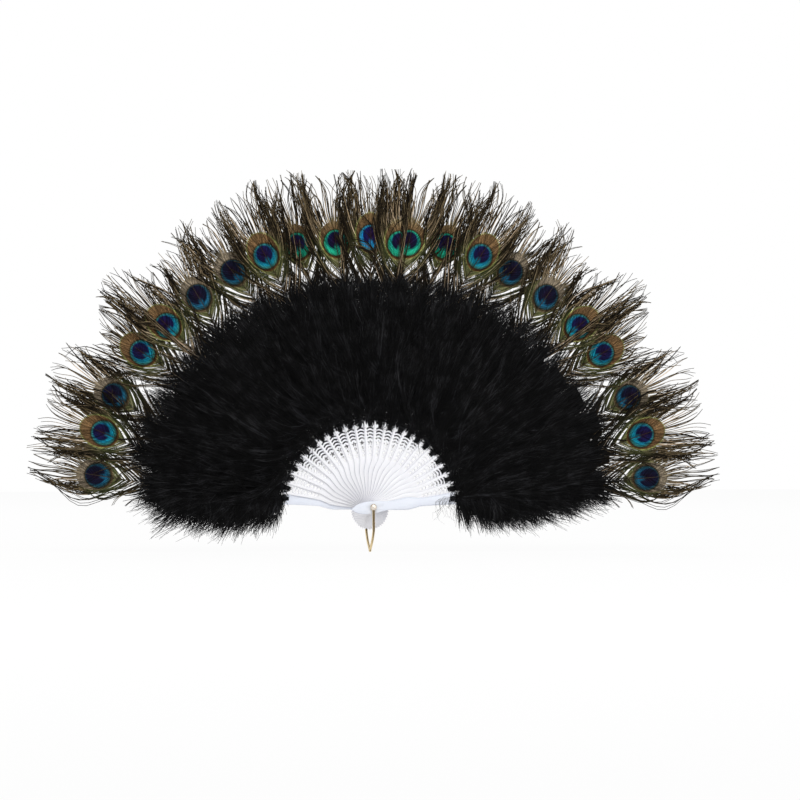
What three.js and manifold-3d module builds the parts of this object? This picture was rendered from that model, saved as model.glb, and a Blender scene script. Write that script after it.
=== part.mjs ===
// A folding feather fan: pierced white sticks on one rivet, a band of black down, and a row of eyed tail feathers.
// The open fan stands upright in the XZ plane and faces -Y. The origin is on the rivet's axis, half way along it.
// Every stick is drawn along +X and turned about the rivet to its own angle. Sizes are in millimetres and degrees.

import * as THREE from 'three';
import { mergeVertices } from 'three/addons/utils/BufferGeometryUtils.js';
import Module from 'manifold-3d';

// Fan layout
const STICK_COUNT = 25;
const OPENING = 168;
const STICK_THICKNESS = 1.0;
const GUARD_THICKNESS = 1.6;
const GUARD_PANEL = { start: 6, end: 80, inset: 0.7 };
const LAYER_GAP = 0.3;

// Stick outline: [distance from the rivet, half width] along one edge, from the tail's point to the blade's corner
const STICK_EDGE = [
  [-22.5, 0], [-16, 4.2], [-8, 6], [2, 6], [14, 4.4], [24, 5.2], [34, 6.1], [42, 5.2], [49, 4.2],
  [66, 5.0], [85.5, 6.2],
];
const STICK_EDGE_POINTS = 14;
const CROWN_DIP = [80.8, 3.6];
const RIB_START = [83.4, 2.8];
const RIB_END = [205, 1.9];
const FORK_DEPTH = 38;
const FORK_HALF_WIDTH = 0.95;

// Piercing of an inner stick's blade, from the rivet outwards
const DOTS = [[51.4, 1.2], [55.0, 1.3], [58.7, 1.4]];
const STAR_PLACE = 63.4;
const STAR_RADIUS = 2.7;
const STAR_INNER_RADIUS = 1.2;
const ARCS = [[67.8, 2.9], [71.0, 3.1], [74.2, 3.3], [77.4, 3.5]];
const ARC_RISE = 1.3;
const ARC_THICKNESS = 1.25;
const ARC_END_SLANT = 0.5;

// Rivet, washer and wire bail
const RIVET_RADIUS = 1.5;
const RIVET_HOLE_RADIUS = 1.9;
const RIVET_HEAD_RADIUS = 3.1;
const RIVET_HEAD_HEIGHT = 1.9;
const RIVET_BUTTON_RADIUS = 2.6;
const RIVET_BUTTON_HEIGHT = 1.2;
const WASHER_RADIUS = 4;
const WASHER_THICKNESS = 0.7;
const EYELET_RADIUS = 3.3;
const EYELET_THICKNESS = 1.7;
const BAIL_WIRE_RADIUS = 1.05;
const BAIL_LENGTH = 43;
const BAIL_STRAIGHT = 23;
const BAIL_BOTTOM_HALF_WIDTH = 2.6;

// Linking ribbon, laced through a slot in every rib
const RIBBON_RADIUS = 89;
const RIBBON_WIDTH = 1.2;
const RIBBON_THICKNESS = 0.4;
const RIBBON_WAVE = 1.2;
const RIBBON_STEPS_PER_STICK = 4;
const RIBBON_SLOT_HALF = [0.95, 1.85];

// Eyed tail feathers: how far each pair of eyes stands from the middle one, and the stick that carries it
const EYE_ANGLES = [0, 7.5, 15.5, 23, 30.5, 39.5, 48.5, 56, 66.5, 74.5, 83.3];
const EYE_STICKS = [0, 1, 2, 3, 4, 6, 7, 8, 10, 11, 12];
const EYE_RADIUS_MIDDLE = 266;
const EYE_RADIUS_SIDE = 273;
const FEATHER_THICKNESS = 0.6;
const QUILL_HALF_WIDTH = 0.6;
const QUILL_CLEARANCE = 0.7;
const BARBS_PER_SIDE = 8;
const VANE_BASE = -61;
const VANE_FIRST_TIP = -32;
const VANE_TOP = 68;
const VANE_HALF_WIDTH = 35;
const EYE_HALF_WIDTH = 16;
const EYE_HALF_LENGTH = 30;

// Marabou tufts: one on every third stick
const TUFT_SPACING = 3;
const TUFT_INNER_RADIUS = 91.5;
const TUFT_OUTER_RADIUS = 233;
const TUFT_FRONT = 17;
const TUFT_BACK = 13;
const TUFT_SIDE_GAP = 0.5;
const TUFT_OVERHANG = 44;
const TUFT_ROWS = 6;
const TUFT_COLUMNS = 5;
const RIB_CHANNEL = { width: 6.6, thickness: 3 };
const FEATHER_MOUTH = { start: 203, thickness: 11 };

const STEP_ANGLE = OPENING / (STICK_COUNT - 1);
const MIDDLE = (STICK_COUNT - 1) / 2;
const LAYER_PITCH = STICK_THICKNESS + LAYER_GAP;
const STACK_FACE = MIDDLE * LAYER_PITCH - STICK_THICKNESS / 2 + GUARD_THICKNESS;
const EYELET_INNER_FACE = STACK_FACE + LAYER_GAP;
const EYELET_OUTER_FACE = EYELET_INNER_FACE + EYELET_THICKNESS;

const { degToRad } = THREE.MathUtils;
const wasm = await Module();
wasm.setup();

const FINISHES = {
  plastic: { color: '#f1f2f4', roughness: 0.38, metalness: 0 },
  brass: { color: '#b98a3e', roughness: 0.24, metalness: 1 },
  rivet: { color: '#d9d2c4', roughness: 0.2, metalness: 1 },
  down: { color: '#0d0f10', roughness: 0.95, metalness: 0 },
  eyed: { color: '#3f4a2c', roughness: 0.6, metalness: 0 },
  ribbon: { color: '#e9e7e2', roughness: 0.7, metalness: 0 },
};

const fan = new THREE.Group();

function addMesh(parent, name, geometry, finish) {
  const mesh = new THREE.Mesh(geometry, new THREE.MeshStandardMaterial(FINISHES[finish]));
  mesh.name = name;
  parent.add(mesh);
  return mesh;
}

// Angle of a stick above the +X axis; stick 0 is the rear guard on the left, the last is the front guard.
function stickAngle(index) {
  return 90 + (MIDDLE - index) * STEP_ANGLE;
}

// Height of a stick's middle plane along Y: the rear guard is farthest back.
function layerY(index) {
  return (MIDDLE - index) * LAYER_PITCH;
}

// A flat plate from an outline drawn along +X, laid in the XZ plane between two Y faces.
function plate(shape, backY, frontY) {
  const geometry = new THREE.ExtrudeGeometry(shape, { depth: backY - frontY, bevelEnabled: false, curveSegments: 8 });
  geometry.rotateX(Math.PI / 2);
  geometry.translate(0, backY, 0);
  return geometry;
}

function toSolid(geometry) {
  const bare = geometry.clone();
  bare.deleteAttribute('normal');
  bare.deleteAttribute('uv');
  const merged = mergeVertices(bare, 1e-4);
  const vertProperties = new Float32Array(merged.attributes.position.array);
  const triVerts = new Uint32Array(merged.index.array);
  return new wasm.Manifold(new wasm.Mesh({ numProp: 3, vertProperties, triVerts }));
}

function toGeometry(solid) {
  const mesh = solid.getMesh();
  const geometry = new THREE.BufferGeometry();
  geometry.setAttribute('position', new THREE.BufferAttribute(new Float32Array(mesh.vertProperties), 3));
  geometry.setIndex(new THREE.BufferAttribute(new Uint32Array(mesh.triVerts), 1));
  geometry.computeVertexNormals();
  return geometry;
}

function polygonHole(points) {
  return new THREE.Path(points.map(([x, y]) => new THREE.Vector2(x, y)));
}

// Points round a centre on the blade's middle line, alternating between the given radii.
// The phase is the first point's turn from the middle line, in steps.
function roundHole(place, radii, count, phase) {
  const points = [];
  for (let i = 0; i < count; i += 1) {
    const turn = (2 * Math.PI * (i + phase)) / count;
    const radius = radii[i % radii.length];
    points.push([place + radius * Math.cos(turn), radius * Math.sin(turn)]);
  }
  return polygonHole(points);
}

// A bent bar across the blade, bowed outwards.
function arcHole(place, halfWidth) {
  const top = place + ARC_RISE;
  const inner = halfWidth - ARC_END_SLANT;
  return polygonHole([
    [place, -halfWidth], [top, 0], [place, halfWidth],
    [place - ARC_THICKNESS, inner], [top - ARC_THICKNESS, 0], [place - ARC_THICKNESS, -inner],
  ]);
}

function stickShape(pierced) {
  const edge = new THREE.SplineCurve(STICK_EDGE.map(([x, y]) => new THREE.Vector2(x, y)));
  const forkRoot = RIB_END[0] - FORK_DEPTH;
  const half = [
    ...edge.getPoints(STICK_EDGE_POINTS).map((p) => [p.x, p.y]),
    CROWN_DIP, RIB_START, RIB_END, [RIB_END[0], FORK_HALF_WIDTH], [forkRoot, FORK_HALF_WIDTH],
  ];
  const otherHalf = half.slice(1).reverse().map(([x, y]) => [x, -y]);
  const shape = new THREE.Shape([...half, ...otherHalf].map(([x, y]) => new THREE.Vector2(x, y)));
  const [slotLength, slotWidth] = RIBBON_SLOT_HALF;
  shape.holes.push(roundHole(0, [RIVET_HOLE_RADIUS], 10, 0.5));
  shape.holes.push(polygonHole([
    [RIBBON_RADIUS - slotLength, -slotWidth], [RIBBON_RADIUS + slotLength, -slotWidth],
    [RIBBON_RADIUS + slotLength, slotWidth], [RIBBON_RADIUS - slotLength, slotWidth],
  ]));
  if (pierced) {
    DOTS.forEach(([place, radius]) => shape.holes.push(roundHole(place, [radius], 6, 0.5)));
    shape.holes.push(roundHole(STAR_PLACE, [STAR_RADIUS, STAR_INNER_RADIUS], 10, 0));
    ARCS.forEach(([place, halfWidth]) => shape.holes.push(arcHole(place, halfWidth)));
  }
  return shape;
}

// The raised flat panel along a guard's blade, a little inside its edge and clear of the rivet and the rib.
function guardPanelShape() {
  const edge = new THREE.SplineCurve(STICK_EDGE.map(([x, y]) => new THREE.Vector2(x, y)));
  const half = edge.getPoints(STICK_EDGE_POINTS * 2)
    .filter((p) => p.x > GUARD_PANEL.start && p.x < GUARD_PANEL.end)
    .map((p) => new THREE.Vector2(p.x, p.y - GUARD_PANEL.inset));
  const otherHalf = half.map((p) => new THREE.Vector2(p.x, -p.y)).reverse();
  return new THREE.Shape([...half, ...otherHalf]);
}

function stickName(index) {
  if (index === 0) return 'rear_guard';
  if (index === STICK_COUNT - 1) return 'front_guard';
  return `stick_${String(index).padStart(2, '0')}`;
}

// One group per stick, turned to the stick's angle, so that what the stick carries is drawn along +X too.
const stickGroups = [];

function addSticks() {
  const innerShape = stickShape(true);
  const guardShape = stickShape(false);
  const panelShape = guardPanelShape();
  for (let i = 0; i < STICK_COUNT; i += 1) {
    const group = new THREE.Group();
    group.rotation.y = -degToRad(stickAngle(i));
    const middle = layerY(i);
    const guard = i === 0 || i === STICK_COUNT - 1;
    const stick = plate(guard ? guardShape : innerShape, middle + STICK_THICKNESS / 2, middle - STICK_THICKNESS / 2);
    if (guard) {
      const back = i === 0 ? STACK_FACE : middle;
      const face = i === 0 ? middle : -STACK_FACE;
      const panel = plate(panelShape, back, face);
      addMesh(group, stickName(i), toGeometry(toSolid(stick).add(toSolid(panel))), 'plastic');
    } else {
      addMesh(group, stickName(i), stick, 'plastic');
    }
    fan.add(group);
    stickGroups.push(group);
  }
}

// Half width of the tight eye at a distance along the vane's axis, never under the quill's.
function eyeMargin(along) {
  const inside = 1 - ((along - 2) / EYE_HALF_LENGTH) ** 2;
  return Math.max(QUILL_HALF_WIDTH, EYE_HALF_WIDTH * Math.sqrt(Math.max(0, inside)));
}

// Outline of a feather along the vane's axis, with the eye at the origin: quill, pointed barbs and tip barb.
function vaneSide() {
  const points = [];
  for (let k = 0; k < BARBS_PER_SIDE; k += 1) {
    const share = (k + 0.5) / BARBS_PER_SIDE;
    const tipAlong = THREE.MathUtils.lerp(VANE_FIRST_TIP, VANE_TOP - 2, share);
    const tipAcross = VANE_HALF_WIDTH * Math.sqrt(Math.sin(Math.PI * (0.12 + 0.86 * share)));
    points.push([tipAlong, tipAcross]);
    const notchAlong = THREE.MathUtils.lerp(VANE_BASE, EYE_HALF_LENGTH, (k + 1) / BARBS_PER_SIDE);
    points.push([notchAlong, eyeMargin(notchAlong) + (k === BARBS_PER_SIDE - 1 ? 1.5 : 0)]);
  }
  return points;
}

// A feather in its stick's own layer: the quill lies in the rib's fork, then leans towards the eye's place.
function featherShape(lean, eyeRadius) {
  const eye = new THREE.Vector2(eyeRadius * Math.cos(lean), eyeRadius * Math.sin(lean));
  const quillEnd = RIB_END[0] - FORK_DEPTH + QUILL_CLEARANCE;
  const axis = Math.atan2(eye.y, eye.x - RIB_END[0]);
  const place = ([along, across]) => new THREE.Vector2(along, across).rotateAround(new THREE.Vector2(), axis).add(eye);
  const side = vaneSide();
  const base = [VANE_BASE, QUILL_HALF_WIDTH];
  const mirrored = ([along, across]) => [along, -across];
  const half = QUILL_HALF_WIDTH;
  return new THREE.Shape([
    new THREE.Vector2(quillEnd, -half),
    new THREE.Vector2(RIB_END[0], -half),
    place(mirrored(base)),
    ...side.map(mirrored).map(place),
    place([VANE_TOP, 0]),
    ...side.slice().reverse().map(place),
    place(base),
    new THREE.Vector2(RIB_END[0], half),
    new THREE.Vector2(quillEnd, half),
  ]);
}

function addFeathers() {
  const pairs = EYE_ANGLES.length - 1;
  for (let j = -pairs; j <= pairs; j += 1) {
    const rank = Math.abs(j);
    const stick = MIDDLE + Math.sign(j) * EYE_STICKS[rank];
    const angle = 90 - Math.sign(j) * EYE_ANGLES[rank];
    const lean = degToRad(angle - stickAngle(stick));
    const eyeRadius = THREE.MathUtils.lerp(EYE_RADIUS_MIDDLE, EYE_RADIUS_SIDE, (rank / pairs) ** 2);
    const back = layerY(stick) + FEATHER_THICKNESS / 2;
    const geometry = plate(featherShape(lean, eyeRadius), back, back - FEATHER_THICKNESS);
    const number = String(j + pairs + 1).padStart(2, '0');
    addMesh(stickGroups[stick], `eyed_feather_${number}`, geometry, 'eyed');
  }
}

// Side of a tuft as an angle from its stick at a radius: a straight cut to its neighbour, or the drooping free side.
function tuftSide(radius, share, free) {
  if (!free) return degToRad((TUFT_SPACING * STEP_ANGLE) / 2) - TUFT_SIDE_GAP / 2 / radius;
  const droop = TUFT_OVERHANG * Math.sin(Math.PI * (0.22 + 0.72 * share)) ** 0.6;
  return Math.asin(droop / radius);
}

// A crowned wedge of down round its stick's rib, as two grids over radius and angle that meet in a rim.
function tuftPillow(leftFree, rightFree) {
  const positions = [];
  const rowLength = TUFT_COLUMNS + 1;
  for (const face of [-TUFT_FRONT, TUFT_BACK]) {
    for (let row = 0; row <= TUFT_ROWS; row += 1) {
      const share = row / TUFT_ROWS;
      const radius = THREE.MathUtils.lerp(TUFT_INNER_RADIUS, TUFT_OUTER_RADIUS, share);
      const left = tuftSide(radius, share, leftFree);
      const right = -tuftSide(radius, share, rightFree);
      for (let column = 0; column <= TUFT_COLUMNS; column += 1) {
        const across = column / TUFT_COLUMNS;
        const angle = THREE.MathUtils.lerp(right, left, across);
        const edge = (across < 0.5 ? rightFree : leftFree) ? 0.3 : 0.8;
        const crown = (0.42 + 0.58 * Math.sin(Math.PI * share) ** 0.7)
          * (edge + (1 - edge) * Math.sin(Math.PI * across) ** 0.6);
        positions.push(radius * Math.cos(angle), face * crown, radius * Math.sin(angle));
      }
    }
  }
  const layer = (TUFT_ROWS + 1) * rowLength;
  const index = [];
  const quad = (a, b, c, d) => index.push(a, b, c, a, c, d);
  for (let row = 0; row < TUFT_ROWS; row += 1) {
    for (let column = 0; column < TUFT_COLUMNS; column += 1) {
      const a = row * rowLength + column;
      const b = a + rowLength;
      quad(a, b, b + 1, a + 1);
      quad(layer + a, layer + a + 1, layer + b + 1, layer + b);
    }
    const start = row * rowLength;
    const end = start + TUFT_COLUMNS;
    quad(start, layer + start, layer + start + rowLength, start + rowLength);
    quad(end, end + rowLength, layer + end + rowLength, layer + end);
  }
  const lastRow = TUFT_ROWS * rowLength;
  for (let column = 0; column < TUFT_COLUMNS; column += 1) {
    quad(column, column + 1, layer + column + 1, layer + column);
    quad(lastRow + column, layer + lastRow + column, layer + lastRow + column + 1, lastRow + column + 1);
  }
  const geometry = new THREE.BufferGeometry();
  geometry.setAttribute('position', new THREE.Float32BufferAttribute(positions, 3));
  geometry.setIndex(index);
  return geometry;
}

// What the down lies round: a channel for each rib inside the wedge, and the mouth that the feathers come out of.
function tuftCuts(stick) {
  const cuts = [];
  const past = 20;
  const length = TUFT_OUTER_RADIUS - TUFT_INNER_RADIUS + 2 * past;
  for (let side = -1; side <= 1; side += 1) {
    if (stick + side >= 0 && stick + side < STICK_COUNT) {
      const channel = new THREE.BoxGeometry(length, RIB_CHANNEL.thickness, RIB_CHANNEL.width);
      channel.translate((TUFT_INNER_RADIUS + TUFT_OUTER_RADIUS) / 2, -side * LAYER_PITCH, 0);
      channel.rotateY(degToRad(side * STEP_ANGLE));
      cuts.push(channel);
    }
  }
  const halfMouth = degToRad(TUFT_SPACING * STEP_ANGLE);
  const mouth = new THREE.Shape();
  mouth.absarc(0, 0, TUFT_OUTER_RADIUS + past, -halfMouth, halfMouth, false);
  mouth.absarc(0, 0, FEATHER_MOUTH.start, halfMouth, -halfMouth, true);
  cuts.push(plate(mouth, FEATHER_MOUTH.thickness / 2, -FEATHER_MOUTH.thickness / 2));
  return cuts;
}

function addTufts() {
  for (let stick = 0; stick < STICK_COUNT; stick += TUFT_SPACING) {
    let solid = toSolid(tuftPillow(stick === 0, stick === STICK_COUNT - 1));
    for (const cut of tuftCuts(stick)) {
      solid = solid.subtract(toSolid(cut));
    }
    const number = String(stick / TUFT_SPACING + 1).padStart(2, '0');
    const mesh = addMesh(stickGroups[stick], `marabou_tuft_${number}`, toGeometry(solid), 'down');
    mesh.position.y = layerY(stick);
  }
}

// A flat ribbon that goes from behind each rib to its front through the rib's slot, in one even wave.
// It is fixed at its ends in the guards' slots, so it stops the fan at its full opening.
function addRibbon() {
  const steps = (STICK_COUNT - 1) * RIBBON_STEPS_PER_STICK;
  const places = [];
  for (let i = 0; i <= steps; i += 1) {
    places.push(i / RIBBON_STEPS_PER_STICK);
  }
  const positions = [];
  for (const place of places) {
    const angle = degToRad(stickAngle(place));
    const middle = layerY(place) - RIBBON_WAVE * Math.sin(2 * Math.PI * place);
    for (const [outwards, forwards] of [[-1, -1], [1, -1], [1, 1], [-1, 1]]) {
      const radius = RIBBON_RADIUS + (outwards * RIBBON_WIDTH) / 2;
      positions.push(radius * Math.cos(angle), middle + (forwards * RIBBON_THICKNESS) / 2, radius * Math.sin(angle));
    }
  }
  const index = [0, 1, 2, 0, 2, 3];
  for (let i = 0; i < places.length - 1; i += 1) {
    for (let corner = 0; corner < 4; corner += 1) {
      const a = 4 * i + corner;
      const b = 4 * i + ((corner + 1) % 4);
      index.push(a, a + 4, b + 4, a, b + 4, b);
    }
  }
  const last = 4 * (places.length - 1);
  index.push(last, last + 2, last + 1, last, last + 3, last + 2);
  const geometry = new THREE.BufferGeometry();
  geometry.setAttribute('position', new THREE.Float32BufferAttribute(positions, 3));
  geometry.setIndex(index);
  addMesh(fan, 'linking_ribbon', geometry, 'ribbon');
}

function lathe(profile, segments) {
  return new THREE.LatheGeometry(profile.map(([x, y]) => new THREE.Vector2(x, y)), segments);
}

// A ring about the rivet's axis between two places along it.
function ring(inner, outer, from, to, segments) {
  return lathe([[inner, from], [outer, from], [outer, to], [inner, to], [inner, from]], segments);
}

// Domed head at the front, shank through the stack, closed button over the washer at the back.
function addRivet() {
  const headFace = -(EYELET_OUTER_FACE + LAYER_GAP);
  const washerFace = EYELET_OUTER_FACE + LAYER_GAP;
  const buttonFace = washerFace + WASHER_THICKNESS + LAYER_GAP;
  const profile = [
    [0, headFace - RIVET_HEAD_HEIGHT],
    [RIVET_HEAD_RADIUS * 0.55, headFace - RIVET_HEAD_HEIGHT * 0.82],
    [RIVET_HEAD_RADIUS * 0.88, headFace - RIVET_HEAD_HEIGHT * 0.45],
    [RIVET_HEAD_RADIUS, headFace],
    [RIVET_RADIUS, headFace],
    [RIVET_RADIUS, buttonFace],
    [RIVET_BUTTON_RADIUS, buttonFace],
    [RIVET_BUTTON_RADIUS * 0.75, buttonFace + RIVET_BUTTON_HEIGHT * 0.8],
    [0, buttonFace + RIVET_BUTTON_HEIGHT],
  ];
  addMesh(fan, 'pivot_rivet', lathe(profile, 14), 'rivet');
  const washer = ring(RIVET_HOLE_RADIUS, WASHER_RADIUS, washerFace, washerFace + WASHER_THICKNESS, 16);
  addMesh(fan, 'rivet_washer', washer, 'rivet');
}

// A wire loop that hangs from an eyelet at each end of the rivet and passes under the sticks' tails.
function addBail() {
  const legY = EYELET_INNER_FACE + EYELET_THICKNESS / 2;
  const topZ = -(EYELET_RADIUS + RIVET_HOLE_RADIUS) / 2;
  const bend = (BAIL_STRAIGHT + BAIL_LENGTH) / 2;
  const leg = [
    [legY, topZ], [legY, -BAIL_STRAIGHT * 0.6], [legY, -BAIL_STRAIGHT],
    [(legY + BAIL_BOTTOM_HALF_WIDTH) / 2 + 1, -bend], [BAIL_BOTTOM_HALF_WIDTH, -BAIL_LENGTH + 2.6],
  ];
  const route = [
    ...leg.map(([y, z]) => new THREE.Vector3(0, -y, z)),
    new THREE.Vector3(0, 0, -BAIL_LENGTH),
    ...leg.slice().reverse().map(([y, z]) => new THREE.Vector3(0, y, z)),
  ];
  const section = new THREE.Shape();
  section.absarc(0, 0, BAIL_WIRE_RADIUS, 0, 2 * Math.PI, false);
  const wire = new THREE.ExtrudeGeometry(section, {
    steps: 30, curveSegments: 4, bevelEnabled: false, extrudePath: new THREE.CatmullRomCurve3(route),
  });
  const eyelet = (from) => ring(RIVET_HOLE_RADIUS, EYELET_RADIUS, from, from + EYELET_THICKNESS, 14);
  const solid = toSolid(wire).add(toSolid(eyelet(-EYELET_OUTER_FACE))).add(toSolid(eyelet(EYELET_INNER_FACE)));
  addMesh(fan, 'bail', toGeometry(solid), 'brass');
}

addSticks();
addFeathers();
addTufts();
addRibbon();
addRivet();
addBail();

export default fan;
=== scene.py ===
"""Dresses the open feather fan: pierced white sticks, black down, eyed tail feathers, rivet and wire bail."""

import logging
import math
from dataclasses import dataclass, field
from enum import Enum

import bmesh
import bpy
import numpy as np
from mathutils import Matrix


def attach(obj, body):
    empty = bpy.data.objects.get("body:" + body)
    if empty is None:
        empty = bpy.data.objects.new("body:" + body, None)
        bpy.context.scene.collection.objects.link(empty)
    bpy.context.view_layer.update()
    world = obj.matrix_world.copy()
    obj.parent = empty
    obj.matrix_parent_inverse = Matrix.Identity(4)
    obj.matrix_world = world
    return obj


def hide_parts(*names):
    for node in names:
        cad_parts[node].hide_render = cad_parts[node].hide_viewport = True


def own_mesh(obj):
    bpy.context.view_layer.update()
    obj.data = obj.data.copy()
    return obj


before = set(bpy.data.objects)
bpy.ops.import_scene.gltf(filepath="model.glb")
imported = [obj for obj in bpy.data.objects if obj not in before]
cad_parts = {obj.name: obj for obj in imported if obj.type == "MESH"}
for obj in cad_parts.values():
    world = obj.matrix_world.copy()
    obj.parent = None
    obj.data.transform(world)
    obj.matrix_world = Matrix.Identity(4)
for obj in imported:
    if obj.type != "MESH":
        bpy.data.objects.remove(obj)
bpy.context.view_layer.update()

LOG = logging.getLogger("feather_fan")
MM = 0.001
FRONT = np.array([0.0, -1.0, 0.0])
BAKE_MAP = "OFBake"

Array = np.ndarray
Faces = list[Array]
Pair = tuple[float, float]
Triple = tuple[float, float, float]
Row = tuple[float, ...]
Colour = tuple[float, float, float, float]
Socket = bpy.types.NodeSocket


class Slot(Enum):
    """Material slots of the record."""

    PLASTIC = "white_plastic"
    FEATHER = "eyed_feather"
    DOWN = "black_down"
    RIBBON = "ribbon"
    RIVET = "rivet_metal"
    GILT = "gilt_wire"


def linear(red: float, green: float, blue: float) -> Colour:
    """Turns a colour on screen, in 0 to 255, into the linear colour with alpha that a shader takes."""
    share = np.array([red, green, blue]) / 255
    light = np.where(share <= 0.04045, share / 12.92, ((share + 0.055) / 1.055) ** 2.4)
    return (*map(float, light), 1.0)


def unit(vectors: Array) -> Array:
    """Scales vectors along the last axis to length 1."""
    return vectors / np.maximum(np.linalg.norm(vectors, axis=-1, keepdims=True), 1e-12)


def smooth_step(share: Array) -> Array:
    """Eases 0 to 1 with the cubic 3t^2 - 2t^3, held flat outside."""
    held = np.clip(share, 0, 1)
    return held * held * (3 - 2 * held)


# Meshes


def mesh_object(
    name: str,
    points: Array,
    faces: Faces,
    values: dict[str, Array] | None = None,
    flat_map: Array | None = None,
    sharp: float | None = None,
) -> bpy.types.Object:
    """Makes a smooth shaded mesh object at the origin from whole arrays.

    Args:
        name: Name of the piece.
        points: Vertex places, n by 3, in metres.
        faces: Index arrays, each m by k for m polygons of k corners.
        values: Numbers per vertex, kept as named attributes.
        flat_map: Place of each vertex on a flat map, n by 2.
        sharp: Angle in degrees above which an edge stays sharp.

    Returns:
        The linked object.
    """
    mesh = bpy.data.meshes.new(name)
    corners = np.concatenate([part.ravel() for part in faces]).astype(np.int32)
    sizes = np.concatenate([np.full(len(part), part.shape[1]) for part in faces])
    mesh.vertices.add(len(points))
    mesh.vertices.foreach_set("co", np.ascontiguousarray(points, np.float32).ravel())
    mesh.loops.add(len(corners))
    mesh.loops.foreach_set("vertex_index", corners)
    mesh.polygons.add(len(sizes))
    mesh.polygons.foreach_set("loop_start", np.concatenate([[0], np.cumsum(sizes)[:-1]]).astype(np.int32))
    mesh.update(calc_edges=True)
    mesh.polygons.foreach_set("use_smooth", np.ones(len(sizes), bool))
    for key, numbers in (values or {}).items():
        layer = mesh.attributes.new(key, "FLOAT", "POINT")
        layer.data.foreach_set("value", np.ascontiguousarray(numbers, np.float32).ravel())
    if flat_map is not None:
        layer = mesh.uv_layers.new(name=BAKE_MAP)
        layer.data.foreach_set("uv", np.ascontiguousarray(flat_map[corners], np.float32).ravel())
    if sharp is not None:
        mesh.set_sharp_from_angle(angle=math.radians(sharp))
    mesh.update()
    piece = bpy.data.objects.new(name, mesh)
    bpy.context.scene.collection.objects.link(piece)
    return piece


def grid_faces(rows: int, columns: int, closed: bool) -> Array:
    """Quads, m by 4, between the rows of a grid; closed joins the last point of a row to the first."""
    steps = np.arange(columns if closed else columns - 1)
    row, column = np.meshgrid(np.arange(rows - 1), steps, indexing="ij")
    near, far = row * columns, (row + 1) * columns
    after = (column + 1) % columns
    return np.stack([near + column, near + after, far + after, far + column], -1).reshape(-1, 4)


def strands(paths: Array, half_width: Array, half_depth: Array, facing: Array) -> tuple[Array, Faces]:
    """Closed three-sided fibres along many paths at once.

    At each station the section is a triangle: two corners half_width to either side of the path and half of
    half_depth behind it, and a ridge half_depth before it towards facing. Small triangles close both ends.

    Args:
        paths: Path points, n by s by 3.
        half_width: Half widths, n by s.
        half_depth: Ridge heights, n by s.
        facing: Direction of the ridges, which broadcasts to paths.

    Returns:
        The vertices, n*s*3 by 3, and the faces.
    """
    count, stations = paths.shape[:2]
    tangent = unit(np.gradient(paths, axis=1))
    side = unit(np.cross(tangent, np.broadcast_to(facing, paths.shape)))
    ridge = np.cross(side, tangent)
    wide, deep = half_width[..., None], half_depth[..., None]
    low = paths - ridge * deep * 0.5
    ring = np.stack([low + side * wide, low - side * wide, paths + ridge * deep], axis=2)
    first = np.arange(count)[:, None] * stations * 3
    sides = (first[:, :, None] + grid_faces(stations, 3, True)[None]).reshape(-1, 4)
    root = first + np.array([0, 2, 1])
    tip = first + (stations - 1) * 3 + np.array([0, 1, 2])
    return ring.reshape(-1, 3), [sides, np.concatenate([root, tip])]


def tube(path: Array, radius: Array, sides: int, across: Array) -> tuple[Array, Faces]:
    """A round tube carried along a path, with flat ends.

    Args:
        path: Path points, s by 3.
        radius: Radius at each point.
        sides: Corners of the round section.
        across: A direction that is never along the path.

    Returns:
        The vertices and the faces.
    """
    tangent = unit(np.gradient(path, axis=0))
    first = unit(np.cross(tangent, np.broadcast_to(across, path.shape)))
    second = np.cross(tangent, first)
    turn = np.arange(sides) * 2 * math.pi / sides
    spoke = first[:, None] * np.cos(turn)[:, None] + second[:, None] * np.sin(turn)[:, None]
    points = (path[:, None] + spoke * radius[:, None, None]).reshape(-1, 3)
    start = np.arange(sides)[::-1][None]
    end = (len(path) - 1) * sides + np.arange(sides)[None]
    return points, [grid_faces(len(path), sides, True), start, end]


def turned(profile: Array, sides: int, closed: bool) -> tuple[Array, Faces]:
    """A profile of (radius, y) points turned about the Y axis.

    Args:
        profile: Points in order, with the solid to the left of their way when seen along +X, m by 2.
        sides: Steps of the turn.
        closed: Whether the profile closes on itself; otherwise both ends lie on the axis.

    Returns:
        The vertices and the faces.
    """
    turn = np.arange(sides) * 2 * math.pi / sides
    body = profile if closed else profile[1:-1]
    points = np.stack(
        [
            body[:, :1] * np.cos(turn),
            np.broadcast_to(body[:, 1:], (len(body), sides)),
            body[:, :1] * np.sin(turn),
        ],
        -1,
    ).reshape(-1, 3)
    rows = len(body) + int(closed)
    faces = [grid_faces(rows, sides, True) % len(points)]
    if not closed:
        poles = np.array([[0, profile[0, 1], 0], [0, profile[-1, 1], 0]])
        pole, last = len(points), (len(body) - 1) * sides
        here = np.arange(sides)
        after = (here + 1) % sides
        faces.append(np.stack([after, here, np.full(sides, pole)], -1))
        faces.append(np.stack([last + here, last + after, np.full(sides, pole + 1)], -1))
        points = np.concatenate([points, poles])
    return points, faces


def joined(*solids: tuple[Array, Faces]) -> tuple[Array, Faces]:
    """Puts several solids into one set of points and faces."""
    points, faces, start = [], [], 0
    for place, parts in solids:
        points.append(place)
        faces += [part + start for part in parts]
        start += len(place)
    return np.concatenate(points), faces


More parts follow.
